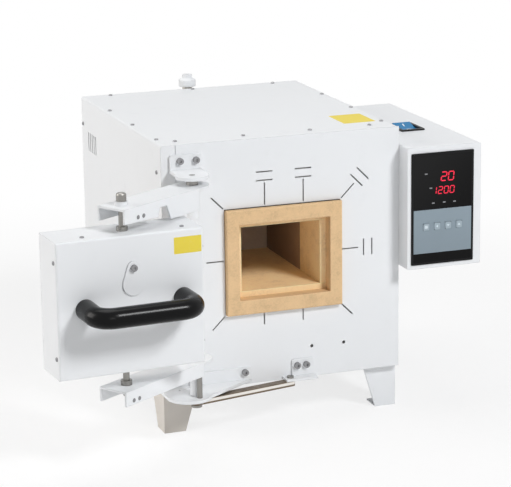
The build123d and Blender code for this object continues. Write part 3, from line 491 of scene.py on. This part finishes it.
@dataclass(frozen=True)
class Steel(Finish):
    """Plated or bare steel with drawn grain, scratches and small dark stains."""

    roughness: float = 0.32
    grain: Grain = Grain.NONE
    streaks: Waves = Waves(110.0, 4.0, 0.6)
    streak_depth: float = 0.00006
    stains: Waves = Waves(55.0, 4.0, 0.7)
    stain_span: Span = (0.55, 0.8)

    def surface(self, graph: Graph) -> Dict[str, Any]:
        """Grain is noise drawn out along one axis; stains dull and darken the metal.

        Args:
            graph: the material's node tree.

        Returns:
            The shader's sockets and their values.
        """
        streak = graph.noise(self.streaks, self.grain.value)
        stain = graph.noise(self.stains).step(*self.stain_span)
        return {"Base Color": graph.blend(self.colour, toned(self.colour, 0.55),
                                          streak * 0.25 + stain * 0.35),
                "Metallic": 1.0, "Roughness": streak * 0.16 + stain * 0.14 + self.roughness,
                "Normal": graph.bump(streak, self.streak_depth)}


@dataclass(frozen=True)
class RolledBar(Steel):
    """Rolled bar with a pale band painted along the middle of its sides as a painted reflection,
    darker at both edges.
    """

    foot_z: float = 0.0
    head_z: float = 1.0
    painted_reflection: Colour = linear(236, 232, 226)
    reflection_start: Span = (0.26, 0.4)
    reflection_end: Span = (0.78, 0.9)

    def surface(self, graph: Graph) -> Dict[str, Any]:
        """Lay a painted reflection, a bright band between two shares of the bar's height, over the
        drawn steel.

        Args:
            graph: the material's node tree.

        Returns:
            The shader's sockets and their values.
        """
        values = super().surface(graph)
        _, _, up = graph.axes()
        height = (up - self.foot_z) / (self.head_z - self.foot_z)
        # Painted reflection: a pale band along the middle of the bar's sides, as if it mirrored
        # the bright floor.
        reflection_band = height.step(*self.reflection_start) * (1.0 - height.step(*self.reflection_end))
        values["Base Color"] = graph.blend(values["Base Color"], self.painted_reflection, reflection_band)
        return values


@dataclass(frozen=True)
class Moulded(Finish):
    """Moulded plastic, from dull grain to a wet gloss."""

    roughness: float = 0.4
    grain_depth: float = 0.00003
    specular: float = 0.5
    grain: Waves = Waves(1900.0, 2.0)
    skin: Waves = Waves(30.0, 2.0)
    skin_depth: float = 0.0003
    dust: Waves = Waves(260.0, 5.0, 0.7)
    dust_span: Span = (0.6, 0.85)

    def surface(self, graph: Graph) -> Dict[str, Any]:
        """Moulding grain of half a millimetre, slow waviness of the skin, and a trace of dust.

        Args:
            graph: the material's node tree.

        Returns:
            The shader's sockets and their values.
        """
        grain = graph.noise(self.grain)
        dust = graph.noise(self.dust).step(*self.dust_span)
        skin = graph.bump(graph.noise(self.skin), self.skin_depth, 0.25)
        return {"Base Color": graph.blend(self.colour, toned(self.colour, 0.86, 0.03), dust * 0.5),
                "Roughness": grain * 0.05 + dust * 0.06 + self.roughness,
                "Specular IOR Level": self.specular,
                "Normal": graph.bump(grain, self.grain_depth, under=skin)}


@dataclass(frozen=True)
class SmokedWindow(Finish):
    """The dark display window: gloss over black, with a painted sheen that makes it paler towards
    its top left.
    """

    centre: Pair = (0.25, 0.3)
    reach: float = 0.06
    hairs: Waves = Waves(240.0, 4.0, 0.7)
    hair_stretch: Place = (8.0, 8.0, 1.0)
    hair_depth: float = 0.00002

    def surface(self, graph: Graph) -> Dict[str, Any]:
        """A painted sheen, a slow tone change across the window, and fine hairlines in its gloss.

        Args:
            graph: the material's node tree.

        Returns:
            The shader's sockets and their values.
        """
        across, _, up = graph.axes()
        # Painted sheen: the window's colour rises towards its top left.
        sheen_slant = (up - self.centre[1]) / self.reach - (across - self.centre[0]) / self.reach
        hair = graph.noise(self.hairs, self.hair_stretch)
        return {"Base Color": graph.blend(self.colour, toned(self.colour, 1.0, 0.01),
                                          sheen_slant.step(-1.5, 1.5)),
                "Roughness": hair * 0.12 + 0.16, "Specular IOR Level": 0.13,
                "Normal": graph.bump(hair, self.hair_depth, 0.3)}


@dataclass(frozen=True)
class KeypadFilm(Finish):
    """Satin film round the keys, fine-grained and slightly uneven in tone, with painted shade
    towards its foot.
    """

    low_z: float = 0.2
    high_z: float = 0.28
    grain: Waves = Waves(2600.0, 2.0)
    grain_depth: float = 0.00002
    clouds: Waves = Waves(34.0, 3.0)

    def surface(self, graph: Graph) -> Dict[str, Any]:
        """Fine matt grain and a slow change from a greyer foot to a paler head, which is painted
        light from above, mixed with random clouds of tone.

        Args:
            graph: the material's node tree.

        Returns:
            The shader's sockets and their values.
        """
        _, _, up = graph.axes()
        grain = graph.noise(self.grain)
        # Painted light: the film is paler towards its head and greyer at its foot; the clouds are
        # random tone.
        painted_light_and_tone = up.step(self.low_z, self.high_z) * 0.55 + graph.noise(self.clouds) * 0.45
        return {"Base Color": graph.blend(toned(self.colour, 0.84), self.colour, painted_light_and_tone),
                "Roughness": grain * 0.1 + 0.4,
                "Normal": graph.bump(grain, self.grain_depth, 0.6)}


@dataclass(frozen=True)
class Lamp(Finish):
    """A lit segment or lamp behind the window."""

    glow: float = 1.0
    cloud: Waves = Waves(900.0, 2.0)

    def surface(self, graph: Graph) -> Dict[str, Any]:
        """The light is a little uneven, as in real segments.

        Args:
            graph: the material's node tree.

        Returns:
            The shader's sockets and their values.
        """
        light = graph.blend(self.colour, toned(self.colour, 0.75), graph.noise(self.cloud))
        return {"Base Color": toned(self.colour, 0.5), "Roughness": 0.4,
                "Emission Color": light, "Emission Strength": self.glow}


@dataclass(frozen=True)
class Paper(Finish):
    """A blank self-adhesive label: satin stock with faint fibres and handling marks."""

    fibres: Waves = Waves(1400.0, 3.0)
    fibre_depth: float = 0.00002
    wear: Waves = Waves(140.0, 4.0, 0.7)
    wear_span: Span = (0.55, 0.8)

    def surface(self, graph: Graph) -> Dict[str, Any]:
        """Fibres of under a millimetre and faint worn patches.

        Args:
            graph: the material's node tree.

        Returns:
            The shader's sockets and their values.
        """
        fibre = graph.noise(self.fibres)
        worn = graph.noise(self.wear).step(*self.wear_span)
        return {"Base Color": graph.blend(self.colour, toned(self.colour, 0.7, 0.25),
                                          worn * 0.4 + fibre * 0.12),
                "Roughness": fibre * 0.15 + 0.45,
                "Normal": graph.bump(fibre, self.fibre_depth)}


@dataclass(frozen=True)
class ClearGlass(Finish):
    """Thick sight glass."""

    haze: Waves = Waves(300.0, 3.0)

    def surface(self, graph: Graph) -> Dict[str, Any]:
        """Return clear glass with a faint haze."""
        return {"Base Color": self.colour, "Roughness": graph.noise(self.haze) * 0.06 + 0.03,
                "IOR": 1.5, "Transmission Weight": 0.85}


WHITE = PowderCoat("white_powder_coat", linear(236, 238, 240))
# The same white coat made darker and warmer: painted shade where the door and hinge arms shadow
# the front left foot.
SHADED = PowderCoat("white_powder_coat_painted_shade", linear(216, 210, 202))
TAN = Refractory("collar_ceramic", linear(226, 192, 148))
# A paler copy of the collar's tan ceramic: painted light for the dim inside of the chamber,
# darkening deeper in as painted shade.
TAN_DEEP = Refractory("front_brick_ceramic", linear(253, 222, 174),
                      depth_shade=linear(198, 170, 138), shade_depths=(-0.03, 0.1), depth_shade_most=0.3)
# The heating plates and rear brick also darken deeper in: painted shade.
BROWN = Refractory("heating_plate_ceramic", linear(178, 150, 128),
                   depth_shade=linear(128, 108, 92), shade_depths=(-0.06, 0.06), depth_shade_most=0.6)
REAR = Refractory("rear_brick_ceramic", linear(206, 190, 176),
                  depth_shade=linear(190, 178, 168), shade_depths=(-0.06, 0.06), depth_shade_most=0.5)
FIBRE = Fibre("fibre_board", linear(238, 234, 226))
ZINC = Steel("zinc_plate", linear(190, 186, 178), 0.3)
BARE = RolledBar("drawn_steel_bar", linear(120, 104, 86), 0.22, Grain.ALONG_X)
PIN = Steel("turned_pin_steel", linear(150, 148, 144), 0.24, Grain.ALONG_Z)
SCREW = Steel("socket_screw_steel", linear(150, 150, 152), 0.26)
WIRE = Steel("oxidised_heating_wire", linear(110, 96, 88), 0.6)
GLOSS_BLACK = Moulded("handle_gloss_black", linear(6, 6, 7), 0.2, 0.00001, 0.14)
GRAIN_BLACK = Moulded("black_grained_plastic", linear(14, 14, 15), 0.42, 0.00003, 0.18)
WINDOW = SmokedWindow("smoked_window", linear(6, 6, 7))
FILM = KeypadFilm("keypad_cover_film", linear(138, 153, 163))
KEY_CAP = Moulded("key_satin_plastic", linear(158, 173, 182))
BLUE = Moulded("rocker_blue", linear(0, 118, 172), 0.2, 0.00001, 0.25)
MARK = Moulded("print_white", linear(228, 236, 240))
KEY_MARK = Moulded("key_print_pale", linear(206, 217, 223))
BOARD = Moulded("circuit_board_green", linear(36, 96, 62), 0.35)
RELAY = Moulded("relay_housing", linear(214, 212, 202), 0.5)
RED = Lamp("segment_red", (0.85, 0.012, 0.05), 1.0)
DIM = Lamp("indicator_dim", linear(150, 152, 156), 0.35)
YELLOW = Paper("blank_label_yellow", linear(232, 210, 60))
GLASS = ClearGlass("sight_glass_clear", linear(214, 226, 220))


# Surfaces


ACROSS = np.array([1.0, 0.0, 0.0])
INWARD = np.array([0.0, 1.0, 0.0])
UPWARD = np.array([0.0, 0.0, 1.0])


@dataclass
class Face:
    """A flat place on the furnace: an origin and two directions, in the drawing's frame."""

    origin: np.ndarray
    along: np.ndarray
    up: np.ndarray
    body: str

    def lift(self, flat: np.ndarray, height: Union[float, np.ndarray]) -> np.ndarray:
        """Place flat points.

        Args:
            flat: array (n, 2) of distances along and up, in millimetres.
            height: distance out of the face, in millimetres.

        Returns:
            Array (n, 3) in the drawing's frame.
        """
        out = np.cross(self.along, self.up)
        painted_light_and_tone = np.broadcast_to(np.asarray(height, float), (len(flat),))
        return (self.origin + flat[:, :1] * self.along + flat[:, 1:] * self.up
                + painted_light_and_tone[:, None] * out)


class Furnace:
    """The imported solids, the drawing's place in their frame, and how pieces are added."""

    def __init__(self, frame: Dict[str, Any]) -> None:
        """Find the drawing's origin from the casing's box.
        """
        low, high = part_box("outer_casing")
        self.frame = frame
        self.origin = np.array([(low.x + high.x) / 2, low.y, 0.0])
        self.pieces: List[bpy.types.Object] = []

    def to_frame(self, points: np.ndarray) -> np.ndarray:
        """Turn drawing millimetres into frame metres."""
        return points * MM + self.origin

    def to_drawing(self, place: Sequence[float]) -> np.ndarray:
        """Turn a place in frame metres into drawing millimetres."""
        return (np.array(place) - self.origin) / MM

    def joint_place(self, name: str) -> np.ndarray:
        """Return a joint's position in drawing millimetres."""
        joint = next(j for j in self.frame["joints"] if j["name"] == name)
        return self.to_drawing(joint["pos_m"])

    def dress(self, finish: Finish, *nodes: str) -> None:
        """Give solids a finish through their material slots.

        Args:
            finish: the finish.
            nodes: the solids' names.
        """
        for node in nodes:
            for entry in self.frame["nodes"][node].material_slots:
                entry.material = finish.material()
            LOG.info("solid %s: %s", node, finish.name)

    def add(self, name: str, points: np.ndarray, faces: List[List[int]], finish: Finish,
            body: str, slot: str) -> None:
        """Make one flat-shaded piece and put it on its body.

        Args:
            name: the object's name.
            points: array (n, 3) in drawing millimetres.
            faces: corner numbers of each face, seen from outside anticlockwise.
            finish: its finish.
            body: the body it rides on.
            slot: not used.
        """
        mesh = bpy.data.meshes.new(name)
        mesh.from_pydata(self.to_frame(points).tolist(), [], faces)
        mesh.materials.append(finish.material())
        mesh.validate()
        piece = bpy.data.objects.new(name, mesh)
        bpy.context.scene.collection.objects.link(piece)
        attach(piece, body)
        self.pieces.append(piece)
        LOG.info("piece %s on %s: %d faces", name, body, len(mesh.polygons))

    def add_plates(self, name: str, face: Face, outlines: Sequence[np.ndarray], depth: float,
                   finish: Finish, slot: str, bevel: float) -> None:
        """Make one piece of flat plates with bevelled rims.

        Each plate is its outline carried through three rings: at the foot, just under the
        top, and drawn in by the bevel at the top; the ends are closed by one face each.

        Args:
            name: the object's name.
            face: the place that carries the plates.
            outlines: anticlockwise outlines (n, 2) in millimetres.
            depth: plate thickness.
            finish: the finish.
            slot: the record's material slot.
            bevel: width of the rim's bevel.
        """
        points: List[np.ndarray] = []
        faces: List[List[int]] = []
        start = 0
        for outline in outlines:
            count = len(outline)
            centre = outline.mean(axis=0)
            spread = np.linalg.norm(outline - centre, axis=1, keepdims=True)
            inner = centre + (outline - centre) * (1 - bevel / np.maximum(spread, bevel * 2))
            points += [face.lift(outline, 0.0), face.lift(outline, depth - bevel),
                       face.lift(inner, depth)]
            index = np.arange(count)
            after = np.roll(index, -1)
            for foot in (start, start + count):
                head = foot + count
                faces += np.column_stack([foot + index, foot + after,
                                          head + after, head + index]).tolist()
            faces.append((start + 2 * count + index).tolist())
            faces.append((start + index[::-1]).tolist())
            start += 3 * count
        self.add(name, np.vstack(points), faces, finish, face.body, slot)

    def add_ring(self, name: str, face: Face, centre: Pair, radii: Pair,
                 depth: float, finish: Finish, slot: str, steps: int = 32) -> None:
        """Make one flat ring.

        A four-cornered section is carried round a circle: the grid of angle and corner closes
        on itself both ways.

        Args:
            name: the object's name.
            face: the place that carries the ring.
            centre: its centre on the face, in millimetres.
            radii: outer and inner radius.
            depth: thickness.
            finish: the finish.
            slot: the record's material slot.
            steps: corners round the circle.
        """
        angle = np.linspace(0, 2 * math.pi, steps, endpoint=False)[:, None]
        reach = np.array([[radii[0], radii[0], radii[1], radii[1]]])
        flat = np.stack([centre[0] + reach * np.cos(angle),
                         centre[1] + reach * np.sin(angle)], axis=2)
        height = np.tile([0.0, depth, depth, 0.0], steps)
        index = np.arange(steps * 4).reshape(steps, 4)
        after, up = np.roll(index, -1, axis=0), np.roll(index, -1, axis=1)
        both = np.roll(after, -1, axis=1)
        faces = np.stack([index, after, both, up], axis=2).reshape(-1, 4).tolist()
        points = face.lift(flat.reshape(-1, 2), height)
        self.add(name, points, faces, finish, face.body, slot)


def rounded_outline(box: Box, radius: float, steps: int = 5) -> np.ndarray:
    """Make a rectangle's outline with round corners: four quarter circles joined in order.

    Args:
        box: left, right, foot and head.
        radius: corner radius.
        steps: points in each quarter circle.

    Returns:
        Anticlockwise array (n, 2).
    """
    left, right, foot, head = box
    turn = np.linspace(0, math.pi / 2, steps)
    corners = []
    for quarter, (x, y) in enumerate(((right - radius, head - radius),
                                      (left + radius, head - radius),
                                      (left + radius, foot + radius),
                                      (right - radius, foot + radius))):
        angle = turn + quarter * math.pi / 2
        corners.append(np.column_stack([x + radius * np.cos(angle), y + radius * np.sin(angle)]))
    return np.vstack(corners)


class Digit(Enum):
    """Digits on the display, as the segments that are lit.

    The letters are top, upper right, lower right, foot, lower left, upper left and middle.
    """

    ZERO = "abcdef"
    ONE = "bc"
    TWO = "abged"


SEGMENTS = {"a": ((0, 1), (1, 1)), "b": ((1, 0.5), (1, 1)), "c": ((1, 0), (1, 0.5)),
            "d": ((0, 0), (1, 0)), "e": ((0, 0), (0, 0.5)), "f": ((0, 0.5), (0, 1)),
            "g": ((0, 0.5), (1, 0.5))}


@dataclass(frozen=True)
class Row:
    """One row of the display: its digits, their left edges, the foot, and a digit's size."""

    digits: Tuple[Digit, ...]
    places: Tuple[float, ...]
    foot: float
    width: float
    height: float
    thick: float = 0.1
    gap: float = 0.35
    lean: float = 0.1

    def outlines(self) -> List[np.ndarray]:
        """Make the lit segments.

        A segment is a bar with pointed ends, laid between two corners of its digit, and the
        whole leans by a share of its height.

        Returns:
            One anticlockwise outline (6, 2) for each lit segment.
        """
        thick = self.width * self.thick
        size = np.array([self.width, self.height])
        outlines = []
        for digit, left in zip(self.digits, self.places):
            for letter in digit.value:
                start, end = (np.array(corner) * size for corner in SEGMENTS[letter])
                run = (end - start) / np.linalg.norm(end - start)
                side = np.array([-run[1], run[0]]) * thick
                start, end = start + run * thick * self.gap, end - run * thick * self.gap
                bar = np.array([start, start + run * thick - side, end - run * thick - side,
                                end, end - run * thick + side, start + run * thick + side])
                bar[:, 0] += bar[:, 1] * self.lean
                outlines.append(bar + (left, self.foot))
        return outlines


# Sub-assemblies


class Assembly:
    """A sub-assembly: solids to dress and, for some, pieces to add."""

    def dress(self, furnace: Furnace) -> None:
        """Give the solids their finishes."""
        raise NotImplementedError

    def build(self, furnace: Furnace) -> None:
        """Add nothing, where the solids are complete."""


@dataclass
class Body(Assembly):
    """Casing, front panel, feet and what is fixed to them."""

    top: float = 377.0
    label: Box = (102.0, 146.0, 44.0, 100.0)
    label_corner: float = 1.5

    def dress(self, furnace: Furnace) -> None:
        """Coat the sheet metal and the feet; the front left foot gets a darker copy of the coat,
        as painted shade.

        Args:
            furnace: the solids.
        """
        # Painted shade: the front left foot gets the darker copy of the white coat.
        furnace.dress(SHADED, "front_left_foot")
        furnace.dress(WHITE, "outer_casing", "front_panel", "rear_panel", "base_tray",
                      "front_right_foot", "rear_left_foot", "rear_right_foot", "exhaust_cap")
        furnace.dress(ZINC, "exhaust_pipe", "thermocouple", "top_rails")
        furnace.dress(SCREW, "casing_screws")

    def build(self, furnace: Furnace) -> None:
        """Add the blank label on the top."""
        face = Face(UPWARD * self.top, ACROSS, INWARD, "furnace")
        furnace.add_plates("top_blank_label", face,
                           [rounded_outline(self.label, self.label_corner)],
                           LABEL_DEPTH, YELLOW, "white_paint", LABEL_BEVEL)


@dataclass
class Chamber(Assembly):
    """The ceramic mouth, the heated chamber and its insulation."""

    seam_height: float = 0.8
    seam_reach: float = 2.6

    def dress(self, furnace: Furnace) -> None:
        """Give bricks, plates, wires and fibre boards their finishes.

        Args:
            furnace: the solids.
        """
        _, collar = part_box("mouth_collar")
        panel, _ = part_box("front_panel")
        # The mouth collar's top edge gets a dark line: painted shade in its gap with the panel.
        gap_shaded_ceramic = replace(TAN, name="mouth_ceramic", seam_z=collar.z - self.seam_height * MM,
                        seam_y=panel.y - self.seam_reach * MM)
        furnace.dress(gap_shaded_ceramic, "mouth_collar")
        furnace.dress(TAN, "door_brick")
        # The chamber's bricks take the paler copy of the tan ceramic: painted light, with painted
        # shade deeper in.
        furnace.dress(TAN_DEEP, "chamber_floor", "chamber_roof", "front_wall_bricks")
        furnace.dress(BROWN, "heating_plates")
        furnace.dress(REAR, "rear_brick")
        furnace.dress(WIRE, "heating_wires")
        furnace.dress(FIBRE, "insulation_base", "insulation_sides", "insulation_roof",
                      "insulation_rear", "door_blanket")


@dataclass
class Door(Assembly):
    """The swinging door with its handle, peephole and blank label."""

    front: float = 27.0
    yaw: float = 3.5
    label: Box = (54.8, 89.8, 274.4, 294.8)
    label_corner: float = 1.0

    def face(self, furnace: Furnace) -> Face:
        """Place the door's front, from its pivot and its small turn when open.

        Args:
            furnace: the solids.

        Returns:
            The front, with its origin under the pivot.
        """
        pivot = furnace.joint_place("door_turn") * (1, 1, 0)
        turn = math.radians(self.yaw)
        along = np.array([math.cos(turn), math.sin(turn), 0.0])
        out = np.array([math.sin(turn), -math.cos(turn), 0.0])
        return Face(pivot + out * self.front, along, UPWARD, "door")

    def dress(self, furnace: Furnace) -> None:
        """Coat the door's metal, its handle and its screws.

        Args:
            furnace: the solids.
        """
        furnace.dress(WHITE, "door_shell", "peephole_cover", "door_back_plate")
        furnace.dress(GLOSS_BLACK, "door_handle")
        furnace.dress(SCREW, "door_screws")
        furnace.dress(PIN, "door_pins", "guide_lever")
        furnace.dress(GLASS, "sight_glass")

    def build(self, furnace: Furnace) -> None:
        """Add the blank label near the door's upper right corner."""
        furnace.add_plates("door_blank_label", self.face(furnace),
                           [rounded_outline(self.label, self.label_corner)],
                           LABEL_DEPTH, YELLOW, "white_paint", LABEL_BEVEL)


@dataclass
class Linkage(Assembly):
    """Hinge brackets, arms, guide rod and stay."""

    def dress(self, furnace: Furnace) -> None:
        """Coat the folded pieces and leave pins, bars and screws in metal.

        Args:
            furnace: the solids.
        """
        furnace.dress(WHITE, "upper_hinge_bracket", "lower_hinge_plate", "stay_bracket",
                      "upper_arm", "lower_arm")
        furnace.dress(PIN, "upper_hinge_pin", "lower_hinge_pins", "guide_rod")
        low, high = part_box("stay_bar")
        # The stay bar carries a painted reflection: a bright band along its sides.
        furnace.dress(replace(BARE, foot_z=low.z, head_z=high.z), "stay_bar")
        furnace.dress(SCREW, "bracket_screws", "arm_grub_screws")


@dataclass
class Controller(Assembly):
    """The box at the side with the panel instrument and the mains switch."""

    front: float = -29.2
    window_centre: Pair = (208.0, 308.0)
    upper_row: Row = Row((Digit.TWO, Digit.ZERO), (206.2, 216.2), 307.6, 7.2, 11.2)
    lower_row: Row = Row((Digit.ONE, Digit.TWO, Digit.ZERO, Digit.ZERO),
                         (193.6, 202.2, 210.4, 218.6), 290.9, 5.6, 9.0)
    lamps: Tuple[Pair, ...] = ((185.3, 318.0), (192.0, 299.0), (195.5, 279.0),
                               (210.9, 279.2), (225.4, 279.0))
    lamp_half: Pair = (1.9, 0.8)
    lamp_corner: float = 0.5
    keys: Tuple[int, ...] = (1, 2, 3, 4)
    key_half: float = 2.0
    key_corner: float = 0.8
    arrow_foot: float = -1.1
    arrow_tip: float = 1.7
    key_mark_depth: float = 0.08
    rocker_valley: Place = (213.0, 98.0, 352.2)
    rocker_reach: float = 18.4
    rocker_rise: float = 4.86
    rocker_dip: float = -1.0
    on_mark: Box = (-0.9, 0.9, 6.5, 13.5)
    on_corner: float = 0.3
    off_place: Pair = (0.0, -10.0)
    off_radii: Pair = (3.4, 2.1)

    def dress(self, furnace: Furnace) -> None:
        """Give the box, the instrument and the power parts their finishes.

        Args:
            furnace: the solids.
        """
        furnace.dress(WHITE, "controller_box", "controller_back")
        furnace.dress(GRAIN_BLACK, "instrument_case", "mains_inlet", "switch_bezel")
        across, up = self.window_centre
        centre = furnace.to_frame(np.array([across, self.front, up])).tolist()
        furnace.dress(replace(WINDOW, centre=(centre[0], centre[2])), "instrument_windows")
        low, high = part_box("keypad")
        furnace.dress(replace(FILM, low_z=low.z, high_z=high.z), "keypad")
        furnace.dress(KEY_CAP, *(f"key_{number}" for number in self.keys))
        furnace.dress(BOARD, "circuit_board")
        furnace.dress(BLUE, "rocker")
        furnace.dress(RELAY, "power_relay", "terminal_block")

    def build(self, furnace: Furnace) -> None:
        """Add the lit digits, the indicators, the key marks and the rocker's marks.

        Args:
            furnace: the solids and their pieces.
        """
        window = Face(INWARD * self.front, ACROSS, UPWARD, "furnace")
        furnace.add_plates("display_digits", window,
                           self.upper_row.outlines() + self.lower_row.outlines(),
                           PRINT_DEPTH, RED, "window_film", PRINT_BEVEL)
        wide, tall = self.lamp_half
        lamps = [rounded_outline((x - wide, x + wide, z - tall, z + tall), self.lamp_corner)
                 for x, z in self.lamps]
        furnace.add_plates("display_indicators", window, lamps, PRINT_DEPTH, DIM, "window_film",
                           PRINT_BEVEL)
        for number in self.keys:
            low, high = (furnace.to_drawing(corner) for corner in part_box(f"key_{number}"))
            place = np.array([(low[0] + high[0]) / 2, low[1], (low[2] + high[2]) / 2])
            cap = Face(place, ACROSS, UPWARD, f"key_{number}")
            furnace.add_plates(f"key_{number}_mark", cap, [self.key_mark(number)],
                               self.key_mark_depth, KEY_MARK, "key_plastic", PRINT_BEVEL)
        furnace.add_plates("rocker_on_mark", self.rocker_face(self.rocker_rise),
                           [rounded_outline(self.on_mark, self.on_corner)],
                           PRINT_DEPTH, MARK, "blue_plastic", PRINT_BEVEL)
        furnace.add_ring("rocker_off_mark", self.rocker_face(self.rocker_dip), self.off_place,
                         self.off_radii, PRINT_DEPTH, MARK, "blue_plastic")

    def rocker_face(self, painted_light_and_tone: float) -> Face:
        """Return one half of the rocker's top, by its rise over the rocker's reach."""
        slope = math.atan2(painted_light_and_tone, self.rocker_reach)
        return Face(np.array(self.rocker_valley), ACROSS,
                    np.array([0.0, math.cos(slope), math.sin(slope)]), "rocker")

    def key_mark(self, number: int) -> np.ndarray:
        """Make a plain mark: a rounded square on key 1, arrow heads on the others.

        Args:
            number: the key's number.

        Returns:
            Its anticlockwise outline (n, 2).
        """
        half = self.key_half
        arrow = np.array([[-half, self.arrow_foot], [half, self.arrow_foot],
                          [0.0, self.arrow_tip]])
        marks = {1: rounded_outline((-half, half, -half, half), self.key_corner),
                 2: arrow[:, ::-1] * (-1, 1), 3: -arrow, 4: arrow}
        return marks[number]


# Studio


@dataclass(frozen=True)
class SoftLamp:
    """A square soft lamp that points at a place; lengths are metres in the frame."""

    name: str
    place: Place
    aim: Place
    size: float
    power: float
    colour: Colour

    def hang(self) -> None:
        """Add the lamp to the scene."""
        data = bpy.data.lights.new(self.name, "AREA")
        data.shape = "SQUARE"
        data.size = self.size
        data.energy = self.power
        data.color = self.colour
        lamp = bpy.data.objects.new(self.name, data)
        lamp.location = self.place
        toward = Vector(self.aim) - Vector(self.place)
        lamp.rotation_euler = toward.to_track_quat("-Z", "Y").to_euler()
        bpy.context.scene.collection.objects.link(lamp)


LAMPS = (
    SoftLamp("key_lamp", (1.13, -2.5, 2.3), (0.0, -0.1, 0.2), 0.7, 67.0, (0.985, 0.99, 1.0)),
    SoftLamp("side_lamp", (-2.9, 0.75, 1.3), (0.0, 0.1, 0.2), 1.8, 52.0, (1.0, 0.97, 0.94)),
    SoftLamp("front_lamp", (-0.5, -2.9, 1.1), (0.05, -0.1, 0.2), 0.9, 6.0, (1.0, 0.99, 0.98)),
    SoftLamp("top_lamp", (-0.2, 0.6, 3.0), (0.0, 0.1, 0.3), 1.8, 27.0, ALL_WHITE),
)


@dataclass
class Studio:
    """Camera, lamps, floor and backdrop. The camera's place is in drawing millimetres."""

    lens: float = 152.85
    sensor: float = 36.0
    farthest: float = 40.0
    place: Place = (-928.0, -2507.8, 921.3)
    yaw: float = 19.557
    pitch: float = 14.327
    roll: float = 0.779
    floor_half: float = 4.5
    floor_tones: Tuple[Colour, Colour] = ((0.98, 0.98, 0.98), (0.94, 0.94, 0.94))
    floor_clouds: Waves = Waves(60.0, 3.0)
    near_share: float = 0.75
    far_span: Span = (0.6, 1.3)
    sky: Colour = (0.95, 0.97, 1.0)
    sky_strength: float = 0.11

    def camera(self, furnace: Furnace) -> None:
        """Stand the camera where the photograph was taken from.

        Args:
            furnace: gives the drawing's place in the frame.
        """
        yaw, pitch, roll = (math.radians(angle) for angle in (self.yaw, self.pitch, self.roll))
        ahead = np.array([math.sin(yaw) * math.cos(pitch), math.cos(yaw) * math.cos(pitch),
                          -math.sin(pitch)])
        right = np.array([math.cos(yaw), -math.sin(yaw), 0.0])
        down = np.cross(ahead, right)
        turned_right = math.cos(roll) * right + math.sin(roll) * down
        turned_down = math.cos(roll) * down - math.sin(roll) * right
        data = bpy.data.cameras.new("camera")
        data.sensor_fit = "HORIZONTAL"
        data.sensor_width = self.sensor
        data.lens = self.lens
        data.clip_end = self.farthest
        camera = bpy.data.objects.new("camera", data)
        matrix = Matrix(np.column_stack([turned_right, -turned_down, -ahead]).tolist()).to_4x4()
        matrix.translation = Vector(furnace.to_frame(np.array(self.place)))
        camera.matrix_world = matrix
        bpy.context.scene.collection.objects.link(camera)
        bpy.context.scene.camera = camera

    def floor(self) -> None:
        """Lay a pale floor that shows white and keeps the furnace's soft shadow.

        Its corners are a rectangle round the furnace, twice as long behind it as before it.
        """
        half = self.floor_half
        mesh = bpy.data.meshes.new("floor")
        mesh.from_pydata([(-half, -half, 0), (half, -half, 0), (half, half * 2, 0),
                          (-half, half * 2, 0)], [], [(0, 1, 2, 3)])
        material = bpy.data.materials.new("pale_floor")
        graph = Graph(material)
        across, away, _ = graph.axes()
        far = ((across * across + away * away) ** 0.5).step(*self.far_span)
        tone = graph.blend(*self.floor_tones, graph.noise(self.floor_clouds))
        matt = graph.node("ShaderNodeBsdfDiffuse", sockets={"Color": tone})
        white = graph.node("ShaderNodeEmission", sockets={"Color": ALL_WHITE, "Strength": 1.0})
        share = graph.seen() * (far * (1.0 - self.near_share) + self.near_share)
        graph.close(graph.mix(share, matt, white))
        mesh.materials.append(material)
        floor = bpy.data.objects.new("floor", mesh)
        bpy.context.scene.collection.objects.link(floor)

    def world(self) -> None:
        """Make the world white where it is seen, and a plain grey light elsewhere."""
        world = bpy.data.worlds.new("backdrop")
        graph = Graph(world)
        light = graph.node("ShaderNodeBackground", sockets={0: self.sky, 1: self.sky_strength})
        white = graph.node("ShaderNodeBackground", sockets={0: ALL_WHITE, 1: 1.0})
        graph.close(graph.mix(graph.seen(), light, white), "ShaderNodeOutputWorld")
        bpy.context.scene.world = world

    def build(self, furnace: Furnace) -> None:
        """Set up the whole studio and the plain view transform.

        Args:
            furnace: gives the drawing's place in the frame.
        """
        self.camera(furnace)
        for lamp in LAMPS:
            lamp.hang()
        self.floor()
        self.world()
        bpy.context.scene.view_settings.view_transform = "Standard"
        LOG.info("studio: camera, %d lamps, floor and backdrop", len(LAMPS))


def main() -> None:
    """Load the solids, dress them, add the pieces and set up the studio."""
    logging.basicConfig(level=logging.INFO, format="%(message)s")
    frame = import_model()
    furnace = Furnace(frame)
    for part in (Body(), Chamber(), Door(), Linkage(), Controller()):
        part.dress(furnace)
        part.build(furnace)
    Studio().build(furnace)
    LOG.info("%d pieces added to %d solids", len(furnace.pieces), len(furnace.frame["nodes"]))


if __name__ == "__main__":
    main()
